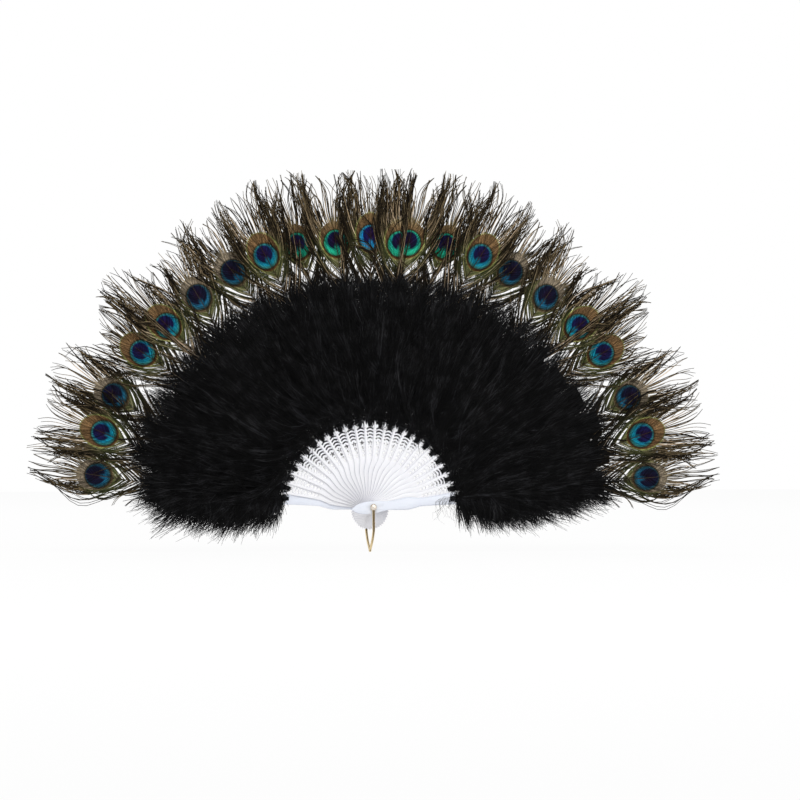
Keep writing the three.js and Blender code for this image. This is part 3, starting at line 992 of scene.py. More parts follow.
@dataclass(frozen=True)
class BarbStyle:
    """How the barbs of a tail feather grow.

    Lengths are in millimetres, places along the shaft are counted from the eye's centre, and angles are in
    degrees off the shaft. A spread of two numbers is that of whole clumps and that of single barbs. The pairs
    root_jitter, close_from and dark_tone are for the eye's barbs and for loose ones, and pale_share has the
    veil's between them. A flame's hold grows along the shaft from the first number of hold_along, over the
    second. It fades with the roots, over the second number of hold_roots, and ends at the first.
    """

    vane_start: float = -76
    eye_start: float = -24
    vane_end: float = 15
    top: float = 66
    loose_barbs: int = 58
    eye_barbs: int = 60
    loose_spacing: float = 0.85
    root_jitter: Pair = (0.4, 0.9)
    clump: float = 3.2
    root_gather: float = 0.3
    stations: int = 12
    root_keys: Row = (-76, -45, -30, -18, -8, 2, 10, 15)
    root_angle: Row = (30, 35, 41, 47, 51, 46, 28, 2)
    bend_angle: Row = (26, 21, 15, 12, 10, 9, 6, 2)
    tip_angle: Row = (22, 12, 6, 4, 4, 5, 4, 2)
    reach: Row = (66, 84, 91, 88, 80, 71, 61, 53)
    root_spread: Pair = (3, 1.5)
    bend_spread: Pair = (4.5, 2.5)
    tip_spread: Pair = (14, 5)
    reach_spread: float = 0.07
    reach_range: Pair = (0.78, 1.06)
    short_share: float = 0.5
    short_range: Pair = (0.5, 0.75)
    bend_at: float = 0.55
    tip_from: float = 0.5
    hook: Pair = (14, 18)
    hook_spread: float = 5
    hook_from: float = 0.62
    rise_spread: float = 1.6
    stray_share: float = 0.07
    stray_rise: float = 8.0
    root_layer: float = 0.2
    veil_roots: Pair = (-62, -30)
    veil_share: float = 0.7
    veil_root_angle: Pair = (9, 19)
    veil_bend_angle: Pair = (-2, 3)
    veil_stretch: float = 1.25
    veil_rise: Pair = (3, 5)
    veil_hold: float = 0.3
    veil_aside: float = 40
    close_from: Pair = (0.5, 0.3)
    close_range: Pair = (0.5, 1.0)
    hold_range: Pair = (0.85, 1.1)
    hold_most: float = 0.95
    hold_roots: Pair = (6, 26)
    hold_along: Pair = (2, 60)
    free_share: float = 0.28
    free_hold: float = 0.2
    flame_spread: float = 3
    sky_spread: float = 2
    sky_over: Pair = (5, 1)
    sky_scale: Pair = (0.6, 1.2)
    width: Pair = (0.46, 0.22)
    loose_width: float = 0.82
    width_range: Pair = (0.7, 1.15)
    pale_share: Triple = (0.44, 0.24, 0.15)
    pale_tone: Pair = (0.6, 1.0)
    dark_tone: Pair = (0.55, 0.36)
    clump_tone: float = 0.2
    tip_dark: float = 0.35


@dataclass
class Vane:
    """The barbs of one tail feather, laid out with the eye's centre at the origin.

    A barb leaves the shaft at its root angle, bends to its middle angle and on to its tip angle, and its last
    third turns aside in a hook. Its path adds up short steps along those angles. Neighbours form clumps:
    towards their tips they close up to the first barb of their clump. Above the eye, each side of the feather
    then draws together to the tip of its flame. Some of the eye's barbs end at its rim. Where the feather has
    a veil, clumps from below the eye stay close to the shaft and lie over that side of the eye. Last, every
    barb is scaled about its root so that the tips follow the skyline, a radius read off by the tip's bearing
    from the fan's middle.

    Attributes:
        style: How the barbs grow.
        rng: Random source of this feather.
        bearing: Angle of the feather from the fan's middle, in degrees.
        radius: Distance of its eye from the rivet.
        skyline: Bearings and the radii that the tips reach there.
        flame: Hold and end of the flame on the inner side, and of that on the outer side.
        veil_side: Side whose loose barbs veil the eye: 1 away from the fan's middle, -1 towards it, 0 none.
        share: Share of a barb's length at its stations.
        root: Where the barbs leave the shaft.
        side: 1 for barbs away from the fan's middle, -1 for those towards it.
        in_eye: Whether a barb belongs to the eye.
        leads: Whether a barb is the first of its clump.
        clump: Number of a barb's clump.
        veil: Whether a barb belongs to the veil.
        short: Whether a barb ends at the eye's rim.
        paths: Path points (along, away from the fan's middle, towards the front).
    """

    style: BarbStyle
    rng: np.random.Generator
    bearing: float
    radius: float
    skyline: tuple[Pair, ...]
    flame: tuple[float, float, float, float]
    veil_side: int
    share: Array = field(init=False)
    root: Array = field(init=False)
    side: Array = field(init=False)
    in_eye: Array = field(init=False)
    leads: Array = field(init=False)
    clump: Array = field(init=False)
    veil: Array = field(init=False)
    short: Array = field(init=False)
    paths: Array = field(init=False)

    def __post_init__(self) -> None:
        """Lays the barbs out; the steps draw from one random source, so their order matters."""
        self.share = np.linspace(0, 1, self.style.stations)
        self.set_roots()
        turns = self.angles()
        length = self.lengths()
        self.walk(turns, length)
        self.close_clumps()
        self.draw_to_flame()
        self.trim_to_skyline()

    @property
    def count(self) -> int:
        """Number of barbs."""
        return len(self.root)

    @property
    def leader(self) -> Array:
        """First barb of every barb's clump."""
        return np.flatnonzero(self.leads)[self.clump]

    def clumped(self, size: float) -> Array:
        """A normal random number that the barbs of a clump share."""
        return self.rng.normal(0, size, self.clump[-1] + 1)[self.clump]

    def per_clump(self, low: float = 0.0, high: float = 1.0) -> Array:
        """An even random number that the barbs of a clump share."""
        return self.rng.uniform(low, high, self.clump[-1] + 1)[self.clump]

    def set_roots(self) -> None:
        """Sets the roots along both sides of the shaft, and gathers the loose ones of a clump a little."""
        style, rng = self.style, self.rng
        loose = np.linspace(0, 1, style.loose_barbs) ** style.loose_spacing
        even = np.concatenate(
            [
                style.vane_start + (style.eye_start - style.vane_start) * loose,
                np.linspace(style.eye_start, style.vane_end, style.eye_barbs),
            ]
        )
        self.side = np.repeat([1.0, -1.0], len(even))
        even = np.tile(even, 2)
        self.in_eye = even > style.eye_start - 0.1
        self.root = even + rng.uniform(-1, 1, len(even)) * np.where(self.in_eye, *style.root_jitter)
        self.leads = rng.random(self.count) < 1 / style.clump
        self.leads[[0, self.count // 2]] = True
        self.clump = np.cumsum(self.leads) - 1
        gather = np.where(self.in_eye, 0.0, style.root_gather)
        self.root = self.root + (self.root[self.leader] - self.root) * gather

    def angles(self) -> Array:
        """Draws the angles of all barbs at their stations but for the hooks, and picks the veil.

        Returns:
            Angles off the shaft in degrees, n by s.
        """
        style, rng = self.style, self.rng

        def drawn(table: Row, spread: Pair, even: Array | bool = False) -> Array:
            """Reads a table at the roots and adds the spreads; even barbs take none from their clump."""
            middle = np.interp(self.root, style.root_keys, table)
            middle = middle + np.where(even, 0.0, self.clumped(spread[0]))
            return middle + rng.normal(0, spread[1], self.count)

        first = drawn(style.root_angle, style.root_spread, self.in_eye)
        bend = drawn(style.bend_angle, style.bend_spread)
        tip = drawn(style.tip_angle, style.tip_spread)
        low, high = style.veil_roots
        self.veil = (self.side == self.veil_side) & (self.per_clump() < style.veil_share)
        self.veil &= (self.root > low) & (self.root < high)
        first = np.where(self.veil, self.per_clump(*style.veil_root_angle), first)
        bend = np.where(self.veil, rng.uniform(*style.veil_bend_angle, self.count), bend)
        bent = smooth_step(self.share / style.bend_at)
        flared = smooth_step((self.share - style.tip_from) / (1 - style.tip_from))
        return first[:, None] + (bend - first)[:, None] * bent + (tip - bend)[:, None] * flared

    def lengths(self) -> Array:
        """Draws the lengths, and picks the barbs that end at the eye's rim."""
        style, rng = self.style, self.rng
        length = np.interp(self.root, style.root_keys, style.reach) * (1 + self.clumped(style.reach_spread))
        length *= style.top / (style.vane_end + style.reach[-1])
        length *= rng.uniform(*style.reach_range, self.count) * np.where(self.veil, style.veil_stretch, 1.0)
        self.short = self.in_eye & ~self.leads & (rng.random(self.count) < style.short_share)
        return np.where(self.short, length * rng.uniform(*style.short_range, self.count), length)

    def walk(self, turns: Array, length: Array) -> None:
        """Lays the paths out from the roots, hooks them and lets their tips leave the vane's plane.

        Args:
            turns: Angles at the stations in degrees.
            length: Lengths.
        """
        style, rng = self.style, self.rng
        mean, size = style.hook
        hook = mean + self.clumped(size) + rng.normal(0, style.hook_spread, self.count)
        hooked = smooth_step((self.share - style.hook_from) / (1 - style.hook_from))
        ahead, aside = walked(turns + hook[:, None] * hooked, length)
        stray = ~self.in_eye & (rng.random(self.count) <= style.stray_share)
        rise = np.where(stray, style.stray_rise, rng.normal(0, style.rise_spread, self.count))
        rise = np.where(self.veil, rng.uniform(*style.veil_rise, self.count), rise)
        layer = rng.uniform(-style.root_layer, style.root_layer, self.count)
        forward = rise[:, None] * self.share**1.5 + layer[:, None]
        self.paths = np.stack([self.root[:, None] + ahead, self.side[:, None] * aside, forward], -1)

    def close_clumps(self) -> None:
        """Draws the outer parts of the barbs to the first one of their clump."""
        style = self.style
        begin = np.where(self.in_eye, *style.close_from)[:, None]
        close = np.where(self.short, 0.0, self.per_clump(*style.close_range))[:, None]
        close = close * smooth_step((self.share - begin) / (1 - begin))
        self.paths = self.paths + (self.paths[self.leader] - self.paths) * close[..., None]

    def draw_to_flame(self) -> None:
        """Draws each side together to the tip of its flame; a few clumps stay almost free."""
        style, paths = self.style, self.paths
        inner_hold, inner_tip, outer_hold, outer_tip = self.flame
        outer = self.side > 0
        hold = np.where(outer, outer_hold, inner_hold) * self.per_clump(*style.hold_range)
        free = np.where(self.per_clump() < style.free_share, style.free_hold, 1.0)
        last, span = style.hold_roots
        hold = free * hold * smooth_step((last - self.root) / span)
        goal = np.where(outer, outer_tip, inner_tip) + self.clumped(style.flame_spread)
        hold = np.where(self.veil, style.veil_hold, np.minimum(hold, style.hold_most))
        begin, span = style.hold_along
        drawn = hold[:, None] * smooth_step((paths[..., 0] - begin) / span)
        paths[..., 1] += (goal[:, None] - paths[..., 1]) * drawn

    def trim_to_skyline(self) -> None:
        """Scales every barb about its root, so that no tip passes the skyline by much."""
        style, flat = self.style, self.paths[..., :2]
        tip = flat[:, -1]
        bearing = self.bearing + np.degrees(np.arctan2(tip[:, 1], self.radius + tip[:, 0]))
        sky = np.interp(np.abs(bearing), *np.array(self.skyline).T) - self.radius - self.root
        sky = sky + self.clumped(style.sky_spread)
        over_top, over_tip = style.sky_over
        to_top = (sky + over_top) / (style.top - self.root)
        to_tip = (sky + over_tip) / (tip[:, 0] - self.root)
        scale = np.clip(np.minimum(to_top, to_tip), *style.sky_scale)[:, None, None]
        self.paths[..., :2] = flat[:, :1] + (flat - flat[:, :1]) * scale

    def half_widths(self) -> Array:
        """Draws the half widths at all stations, which shrink towards the tips."""
        style = self.style
        slim = style.width[0] * np.where(self.in_eye, 1.0, style.loose_width)[:, None]
        slim = slim * self.rng.uniform(*style.width_range, self.count)[:, None]
        return slim + (style.width[1] - slim) * self.share**2

    def tones(self) -> Array:
        """Draws the tones at all stations: some barbs are pale, and all darken towards their tips."""
        style, rng = self.style, self.rng
        eye_share, veil_share, loose_share = style.pale_share
        chance = np.select([self.in_eye, self.veil], [eye_share, veil_share], loose_share)
        pale = rng.random(self.count) < chance
        light = rng.uniform(*style.pale_tone, self.count)
        dark = rng.random(self.count) * np.where(self.in_eye, *style.dark_tone)
        tone = (1 - style.clump_tone) * np.where(pale, light, dark) + style.clump_tone * self.per_clump()
        return tone[:, None] * (1 - style.tip_dark * self.share**2)

    def map_places(self) -> Array:
        """Places of the path points on the flat map, where the veil lies clear of the eye."""
        flat = self.paths[..., :2].copy()
        flat[..., 1] += np.where(self.veil, self.style.veil_aside * self.side, 0.0)[:, None]
        return flat


@dataclass(frozen=True)
class Seat:
    """Where one feather sits on its stick.

    Attributes:
        layout: Where the sticks stand.
        stick: The stick.
        sign: -1 for the left half of the fan, 1 for the right.
        eye: Place of the eye's centre along and across the stick.
        fork: Where along the stick the shaft leaves the rib.
        lift: How far the eye stands before the stick's plane.
        crease: Width left and depth of a crease in the half away from the fan's middle, or None.
    """

    layout: Layout
    stick: int
    sign: int
    eye: Pair
    fork: float
    lift: float
    crease: Pair | None

    @property
    def quill_start(self) -> float:
        """Where the shaft leaves the rib, along the shaft from the eye."""
        return -math.hypot(self.eye[1], self.eye[0] - self.fork)

    def place(self, local: Array) -> Array:
        """Carries feather points into the fan's frame, and bends the vane forwards along a smooth step.

        Args:
            local: Points (along, away from the fan's middle, towards the front) from the eye's centre.

        Returns:
            The points in the fan's frame, in metres.
        """
        rise = self.lift * smooth_step((local[..., 0] - self.quill_start) / (-self.quill_start))
        away = local[..., 1]
        if self.crease:
            narrow, depth = self.crease
            rise = rise - depth * (1 - np.exp(-np.maximum(away, 0) / depth))
            away = np.where(away > 0, narrow * away, away)
        left = -self.sign * away
        axis = math.atan2(self.eye[1], self.eye[0] - self.fork)
        along = self.eye[0] + local[..., 0] * math.cos(axis) - left * math.sin(axis)
        across = self.eye[1] + local[..., 0] * math.sin(axis) + left * math.cos(axis)
        return self.layout.place(self.stick, np.stack([along, across, local[..., 2] + rise], -1) * MM)


@dataclass
class TailFeathers:
    """The eyed tail feathers: a shaft in the rib's fork, loose barbs, and the eye among them.

    The tables go from the middle feather outwards, with one entry for each pair of feathers. Lengths are in
    millimetres and angles in degrees from the fan's middle.
    """

    layout: Layout
    style: BarbStyle = BarbStyle()
    angles: Row = (0, 7.5, 15.5, 23, 30.5, 39.5, 48.5, 56, 66.5, 74.5, 83.3)
    sticks: tuple[int, ...] = (0, 1, 2, 3, 4, 6, 7, 8, 10, 11, 12)
    lift: Row = (3.5, 0.5, -2.5, 3.5, -1.5, 0.0, 3.5, 0.0, -2.0, 3.5, 0.5)
    eye_radius: Row = (266, 262.8, 266, 266.5, 267, 267.5, 268.2, 272, 273, 274, 272)
    eye_jitter: float = 1.0
    lift_jitter: float = 0.4
    seed: int = 100
    side_shift: float = 2.0
    right_spread: Pair = (0.9, 3.5)
    right_ranks: int = 5
    left_trim: float = 5.0
    skyline: tuple[Pair, ...] = (
        (0, 322), (4, 328), (8, 325), (12, 335), (16, 336), (20, 337), (24, 337), (28, 323),
        (32, 318), (36, 346), (40, 325), (44, 317), (48, 349), (52, 342), (56, 332), (60, 308),
        (64, 347), (68, 348), (72, 341), (76, 344), (80, 341), (84, 350), (88, 306), (92, 292),
    )
    flames: tuple[tuple[float, float, float, float], ...] = (
        (0.5, -10, 0.45, 24), (0.4, -22, 0.4, 24), (0.85, -18, 0.85, -8), (0.6, -10, 0.5, 8),
        (0.4, -14, 0.5, 4), (0.85, -18, 0.6, 4), (0.92, -3, 0.9, 2), (0.85, -28, 0.15, 22),
        (0.85, -10, 0.7, 14), (0.9, -2, 0.2, 22), (0.85, -8, 0.9, 2),
    )
    fork: Pair = (168, 205)
    web: Triple = (2.6, 18.8, 16.0)
    arched_web: Triple = (4.3, 20.5, 16.0)
    clear_arch: float = 0.3
    web_height: float = 0.12
    web_behind: float = 0.35
    web_rings: int = 15
    web_sides: int = 40
    veils: tuple[int, ...] = (1, -1, 1, 0, 0, 0, 1, 0, 0, 0, 0)
    twin: tuple[int, int] = (1, 1)
    twin_shift: Triple = (-2.1, -2.0, 4.6)
    crease: Pair = (0.35, 5.0)
    barb_depth: float = 0.35
    quill_stations: int = 5
    shaft_stations: int = 24
    shaft_sides: int = 6
    shaft_rise: float = 0.25
    shaft_radius: Row = (0.62, 0.6, 0.36, 0.2)
    shaft_slim_at: int = 16
    plain_tone: float = 0.45
    map_span: float = 170
    map_base: Pair = (-100, -85)
    keep: float = 0.12
    tints: tuple[str, ...] = (
        "AZURE", "TEAL", "TEAL", "DEEP", "DUSK", "DUSK", "DEEP", "DEEP", "DUSK", "DEEP", "DUSK",
    )

    def eye_web(self, tint: EyeTint) -> tuple[Array, Faces]:
        """The tight web of barbules behind the eye: a thin lens stretched to an oval.

        Args:
            tint: The eye's tint; one with a clear arch has a longer web.

        Returns:
            Points (along, across, towards the front) in millimetres, and the faces.
        """
        turn = np.linspace(0, math.pi, self.web_rings)
        profile = np.stack([np.sin(turn), -self.web_height * np.cos(turn)], -1)
        points, faces = turned(profile, self.web_sides, False)
        centre, half_length, half_width = self.arched_web if tint.value.arch > self.clear_arch else self.web
        along, across = centre + half_length * points[:, 0], half_width * points[:, 2]
        return np.stack([along, across, -self.web_behind - points[:, 1]], -1), faces

    def shaft(self, seat: Seat) -> tuple[Array, Faces, Array]:
        """The shaft: a slim tube through the rib's fork and on along the vane.

        Args:
            seat: Where the feather sits.

        Returns:
            The points, the faces, and the points' places on the flat map.
        """
        along = np.linspace(seat.quill_start, self.style.vane_end, self.shaft_stations)
        level = np.full(len(along), self.shaft_rise)
        vane_path = seat.place(np.stack([along, np.zeros(len(along)), level], -1))
        quill = np.linspace(*self.fork, self.quill_stations + 1)[:-1]
        quill_path = self.layout.place(seat.stick, np.stack([quill, quill * 0, quill * 0], -1) * MM)
        path = np.concatenate([quill_path, vane_path])
        slim_at = [0, self.quill_stations, self.shaft_slim_at, len(path) - 1]
        slim = np.interp(np.arange(len(path)), slim_at, self.shaft_radius) * MM
        points, faces = tube(path, slim, self.shaft_sides, FRONT)
        map_along = np.concatenate([np.full(len(quill), seat.quill_start), along])
        local = np.stack([map_along, np.zeros(len(path))], -1)
        return points, faces, np.repeat(local, self.shaft_sides, axis=0)

    def shape(self, rank: int, sign: int, twin: bool) -> tuple[tuple[Array, Faces], Array]:
        """Works out one feather on its stick.

        A twin stands a little aside and in front of the feather whose stick it shares, and is creased along
        its shaft: its half away from the fan's middle is drawn in and turns to the back.

        Args:
            rank: How many pairs it stands from the middle.
            sign: -1 for the left half, 1 for the right.
            twin: Whether it is the creased twin.

        Returns:
            The points and faces, and for each point its place on the flat map, its tone and its shaft share.
        """
        stick = self.layout.middle + sign * self.sticks[rank]
        ranks = len(self.angles)
        rng = np.random.default_rng(self.seed + rank + (ranks if twin else 0))
        turned_by, sunk, raised = self.twin_shift if twin else (0.0, 0.0, 0.0)
        wider, longer = self.right_spread if sign > 0 and rank else (0.0, 0.0)
        share = (rank / (ranks - 1)) ** 2
        even = self.eye_radius[rank] + rng.normal(0, self.eye_jitter) + sunk
        radius = even + sign * self.side_shift * share + longer * min(rank / self.right_ranks, 1.0)
        turn = math.radians(90 - sign * (self.angles[rank] + wider + turned_by))
        lean = turn - self.layout.angle(stick)
        eye = (radius * math.cos(lean), radius * math.sin(lean))
        trim = self.left_trim * share if sign < 0 else 0.0
        veil_side = 0 if twin else self.veils[rank]
        vane = Vane(
            self.style, rng, self.angles[rank], even + trim, self.skyline, self.flames[rank], veil_side
        )
        half = vane.half_widths()
        barb_tone = vane.tones()
        lift = self.lift[rank] + rng.normal(0, self.lift_jitter) + raised
        seat = Seat(self.layout, stick, sign, eye, self.fork[1], lift, self.crease if twin else None)

        barbs, barb_faces = strands(seat.place(vane.paths), half * MM, half * self.barb_depth * MM, FRONT)
        shaft, shaft_faces, shaft_local = self.shaft(seat)
        web_local, web_faces = self.eye_web(EyeTint[self.tints[rank]])
        web = seat.place(web_local)
        solid = joined((barbs, barb_faces), (shaft, shaft_faces), (web, web_faces))
        barb_local = np.repeat(vane.map_places().reshape(-1, 2), 3, axis=0)
        flat = np.concatenate([barb_local, shaft_local, web_local[:, :2]])
        plain = np.full(len(shaft) + len(web), self.plain_tone)
        tone = np.concatenate([np.repeat(barb_tone.ravel(), 3), plain])
        is_shaft = np.concatenate([np.zeros(len(barbs)), np.ones(len(shaft)), np.zeros(len(web))])
        return solid, np.column_stack([flat, tone, is_shaft])

    def build_one(self, rank: int, sign: int, material: bpy.types.Material) -> None:
        """Builds the feather of one stick, with its twin where it has one.

        Args:
            rank: How many pairs it stands from the middle.
            sign: -1 for the left half, 1 for the right.
            material: Its finish.
        """
        number = sign * rank + len(self.angles)
        stick = self.layout.middle + sign * self.sticks[rank]
        twins = (False, True) if (rank, sign) == self.twin else (False,)
        shapes = [self.shape(rank, sign, twin) for twin in twins]
        points, faces = joined(*[solid for solid, _ in shapes])
        marks = np.concatenate([mark for _, mark in shapes])
        piece = mesh_object(
            f"tail_feather_{number:02d}", points, faces, {"tone": marks[:, 2], "shaft": marks[:, 3]},
            (marks[:, :2] - self.map_base) / self.map_span,
        )
        piece.data.materials.append(material)
        self.layout.carry(piece, stick, Slot.FEATHER, self.keep)
        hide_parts(f"eyed_feather_{number:02d}")
        LOG.info("%s on %s: %d points", piece.name, self.layout.body(stick), len(points))

    def build(self) -> None:
        """Builds all feathers, with the eyes' tints mixed along the fan."""
        finishes = {}
        for tint in EyeTint:
            finish = EyedFeather("eyed_feather_" + tint.name.lower(), tint, self.map_span, self.map_base)
            finishes[tint.name] = finish.material()
        for rank in range(len(self.angles)):
            for sign in (-1, 1) if rank else (1,):
                self.build_one(rank, sign, finishes[self.tints[rank]])


@dataclass(frozen=True)
class FibreKind:
    """One kind of fibre of a plume.

    Attributes:
        count: How many a plume has, or how many for each millimetre of its lining.
        root: Range of the roots' distance from the rivet, in millimetres.
        depth: Range of how far they stand out, in millimetres or as a share of the plume's depth.
        length: Range of their lengths, in millimetres or as a share of the room they have.
        angle: Mean and spread, or range, of their angle to the stick's line in degrees.
        straighten: Share of the angle that is lost at the tip.
        start: How far from the stick's plane the roots lie.
        wave: Size of the waves in degrees.
    """

    count: int
    root: Pair
    depth: Pair
    length: Pair
    angle: Pair
    straighten: float = 0.0
    start: float = 0.8
    wave: float = 9


@dataclass
class DownPlumes:
    """The black down: one plume on every stick, front and back; the outer two hang over the guards."""

    layout: Layout
    long_kind: FibreKind = FibreKind(1500, (90, 207), (0.85, 1.1), (34, 68), (0, 36), 0.75)
    crown_kind: FibreKind = FibreKind(150, (85, 97), (0.6, 4.5), (3, 12), (180, 34), start=2.0)
    cover_kind: FibreKind = FibreKind(250, (85.4, 100.4), (1.2, 6), (7, 20), (0, 52), 0.2, start=1.0)
    notch_kind: FibreKind = FibreKind(120, (78.6, 84.5), (0.1, 0.4), (4, 9), (0, 12), wave=4)
    lining_kind: FibreKind = FibreKind(5, (82, 96), (0.5, 4), (0.3, 1.0), (180, 22), start=2.4)
    hanging_kind: FibreKind = FibreKind(2500, (86, 212), (0.85, 1.1), (0.62, 1.06), (18, 112), 0.12)
    stray_kind: FibreKind = FibreKind(22, (66, 92), (0.5, 3), (14, 34), (112, 22), 0.2, start=1.2, wave=60)
    seed: int = 500
    clump: int = 7
    stations: int = 5
    root_spread: float = 1.6
    foot_spread: float = 1.0
    waves: float = 0.9
    phase_spread: float = 0.05
    sink: float = 0.35
    clump_tone: float = 0.4
    depth_range: Pair = (0.05, 1.0)
    long_shortest: float = 14
    long_edge_spread: float = 5
    long_turn_spread: float = 6
    long_turn_most: float = 55
    long_range: Pair = (0.85, 1.05)
    cover_crowding: float = 1.3
    cover_inset: Pair = (4, 2.2)
    reach_keys: Row = (0, 1, 2, 5, 12, 19, 22, 23, 24)
    reach: Row = (228, 246, 249, 242, 226, 251, 269, 269, 259)
    swell_span: Pair = (76, 238)
    swell_ahead: float = 22
    front: float = 15.5
    back: float = 12
    front_share: float = 0.58
    hang: Pair = (49, 43)
    hang_keys: Row = (76, 94, 129, 166, 195, 222, 236)
    hang_share: tuple[Row, Row] = (
        (0.4, 0.78, 0.95, 0.93, 0.72, 0.38, 0.1),
        (0.58, 0.88, 0.93, 0.88, 0.8, 0.64, 0.3),
    )
    hang_crowding: float = 1.2
    hang_ahead: float = 18
    hang_turn: Pair = (34, 90)
    hang_turn_spread: float = 7
    hang_range: Pair = (0.8, 1.05)
    width: Pair = (0.3, 0.1)
    ridge: float = 0.7
    stray_width: float = 0.4
    stray_tone: Pair = (0.8, 0.2)
    lining: tuple[int, ...] = (
        0, 0, 0, 9, 18, 26, 32, 34, 34, 34, 34, 30, 26, 26, 28, 26, 24, 18, 0, 0, 12, 22, 22, 0, 0,
    )
    core_span: Pair = (91, 26)
    core_grid: tuple[int, int] = (9, 10)
    core_half: Pair = (1.02, 0.28)
    core_taper: Row = (0.6, 1.0, 1.0, 0.75)
    core_height: float = 1.0
    core_tone: float = 0.15
    keep: float = 0.05
    guard_keep: float = 0.12
    guard_aside: float = 1.0

    @property
    def folded(self) -> dict[int, Pair]:
        """Share of depth kept and shift along Y, in millimetres, of the plumes that fold over the guards."""
        last = self.layout.count - 1
        return {0: (self.guard_keep, self.guard_aside), last: (self.guard_keep, -self.guard_aside)}

    def swell(self, radius: Array) -> Array:
        """How far the plume stands out at a distance from the rivet: a half sine between its edges."""
        share = np.clip((radius - self.swell_span[0]) / (self.swell_span[1] - self.swell_span[0]), 0, 1)
        return np.sin(math.pi * share) ** 0.6

    def fibre_paths(
        self,
        rng: np.random.Generator,
        kind: FibreKind,
        clump: Array,
        root: Array,
        angle: Array,
        length: Array,
        depth: Array,
    ) -> tuple[Array, Array]:
        """Lays fibres out from the rib.

        A fibre starts at its angle from the stick's line, turns towards that line by the straightening share
        of it and waves a little, together with its clump. It leaves the stick's plane quickly, up to its
        depth, and sinks back near its tip.

        Args:
            rng: Random source.
            kind: Their kind.
            clump: Number of each fibre's clump.
            root: Distance of each root from the rivet.
            angle: Starting angles in degrees.
            length: Lengths.
            depth: How far each stands out, negative for the back.

        Returns:
            Path points (along, across, towards the front) in millimetres, n by s by 3, and the tones.
        """
        count, clumps = len(root), clump[-1] + 1
        share = np.linspace(0, 1, self.stations)
        phase = rng.random(clumps)[clump] + rng.normal(0, self.phase_spread, count)
        turns = angle[:, None] * (1 - kind.straighten * share)
        turns = turns + kind.wave * np.sin(2 * math.pi * (share * self.waves + phase[:, None]))
        ahead, aside = walked(turns, length)
        across = rng.normal(0, self.foot_spread, count)[:, None] + aside
        rise = share**0.6 * (1 - self.sink * share)
        height = np.sign(depth)[:, None] * kind.start + depth[:, None] * rise
        clump_tone = self.clump_tone * rng.random(clumps)[clump] ** 2
        tone = clump_tone + (1 - self.clump_tone) * rng.random(count) ** 2
        return np.stack([root[:, None] + ahead, across, height], -1), tone

    def depths(self, rng: np.random.Generator, root: Array) -> Array:
        """How far fibres stand out, some to the front and some to the back."""
        side = np.where(rng.random(len(root)) < self.front_share, self.front, -self.back)
        out = rng.uniform(*self.depth_range, len(root)) ** 0.8
        return side * out * self.swell(root + self.swell_ahead)

    def long_fibres(self, rng: np.random.Generator, outer: float) -> tuple[Array, Array]:
        """The fibres that lie outwards along the rib, in clumps that share root, angle, length and depth.

        Args:
            rng: Random source.
            outer: How far out the plume reaches.

        Returns:
            Paths and tones.
        """
        kind, count = self.long_kind, self.long_kind.count
        clump = np.arange(count) // self.clump
        clumps = clump[-1] + 1
        root = rng.uniform(*kind.root, clumps)
        angle = rng.normal(*kind.angle, clumps)
        depth = self.depths(rng, root)[clump] * rng.uniform(*kind.depth, count)
        reach = outer + rng.normal(0, self.long_edge_spread, clumps) - root
        room = reach / np.cos(np.radians(np.clip(np.abs(angle) * 0.5, 0, self.long_turn_most)))
        length = np.minimum(rng.uniform(*kind.length, clumps), np.maximum(room, self.long_shortest))
        length = length[clump] * rng.uniform(*self.long_range, count)
        root = root[clump] + rng.normal(0, self.root_spread, count)
        angle = angle[clump] + rng.normal(0, self.long_turn_spread, count)
        return self.fibre_paths(rng, kind, clump, root, angle, length, depth)

    def inner_edge(self, rng: np.random.Generator, stick: int) -> list[tuple[Array, Array]]:
        """The short fibres round the blade's crown and in its notches, and the lining behind the piercing.

        Args:
            rng: Random source.
            stick: The stick.

        Returns:
            Paths and tones of each kind.
        """
        kind, count = self.crown_kind, self.crown_kind.count
        root = rng.uniform(*kind.root, count)
        depth = -rng.uniform(*kind.depth, count)
        length = rng.uniform(*kind.length, count)
        angle = rng.normal(*kind.angle, count)
        parts = [self.fibre_paths(rng, kind, np.arange(count), root, angle, length, depth)]

        kind, count = self.cover_kind, self.cover_kind.count
        low, high = kind.root
        sticks, most = self.cover_inset
        inset = float(np.interp(stick, [self.layout.middle, self.layout.middle + sticks], [0, most]))
        root = low - inset + (high - low) * rng.random(count) ** self.cover_crowding
        depth = rng.uniform(*kind.depth, count)
        angle = rng.normal(*kind.angle, count)
        length = rng.uniform(*kind.length, count)
        parts.append(self.fibre_paths(rng, kind, np.arange(count), root, angle, length, depth))

        kind, count = self.notch_kind, self.notch_kind.count
        low, high = kind.root
        root = rng.uniform(low - inset, high, count)
        depth = rng.uniform(*kind.depth, count)
        length = rng.uniform(*kind.length, count)
        angle = rng.normal(*kind.angle, count)
        parts.append(self.fibre_paths(rng, kind, np.arange(count), root, angle, length, depth))

        room = self.lining[stick]
        if room:
            kind, count = self.lining_kind, self.lining_kind.count * room
            root = rng.uniform(*kind.root, count)
            depth = -rng.uniform(*kind.depth, count)
            angle = rng.normal(*kind.angle, count)
            length = rng.uniform(*kind.length, count) * room
            parts.append(self.fibre_paths(rng, kind, np.arange(count), root, angle, length, depth))
        return parts

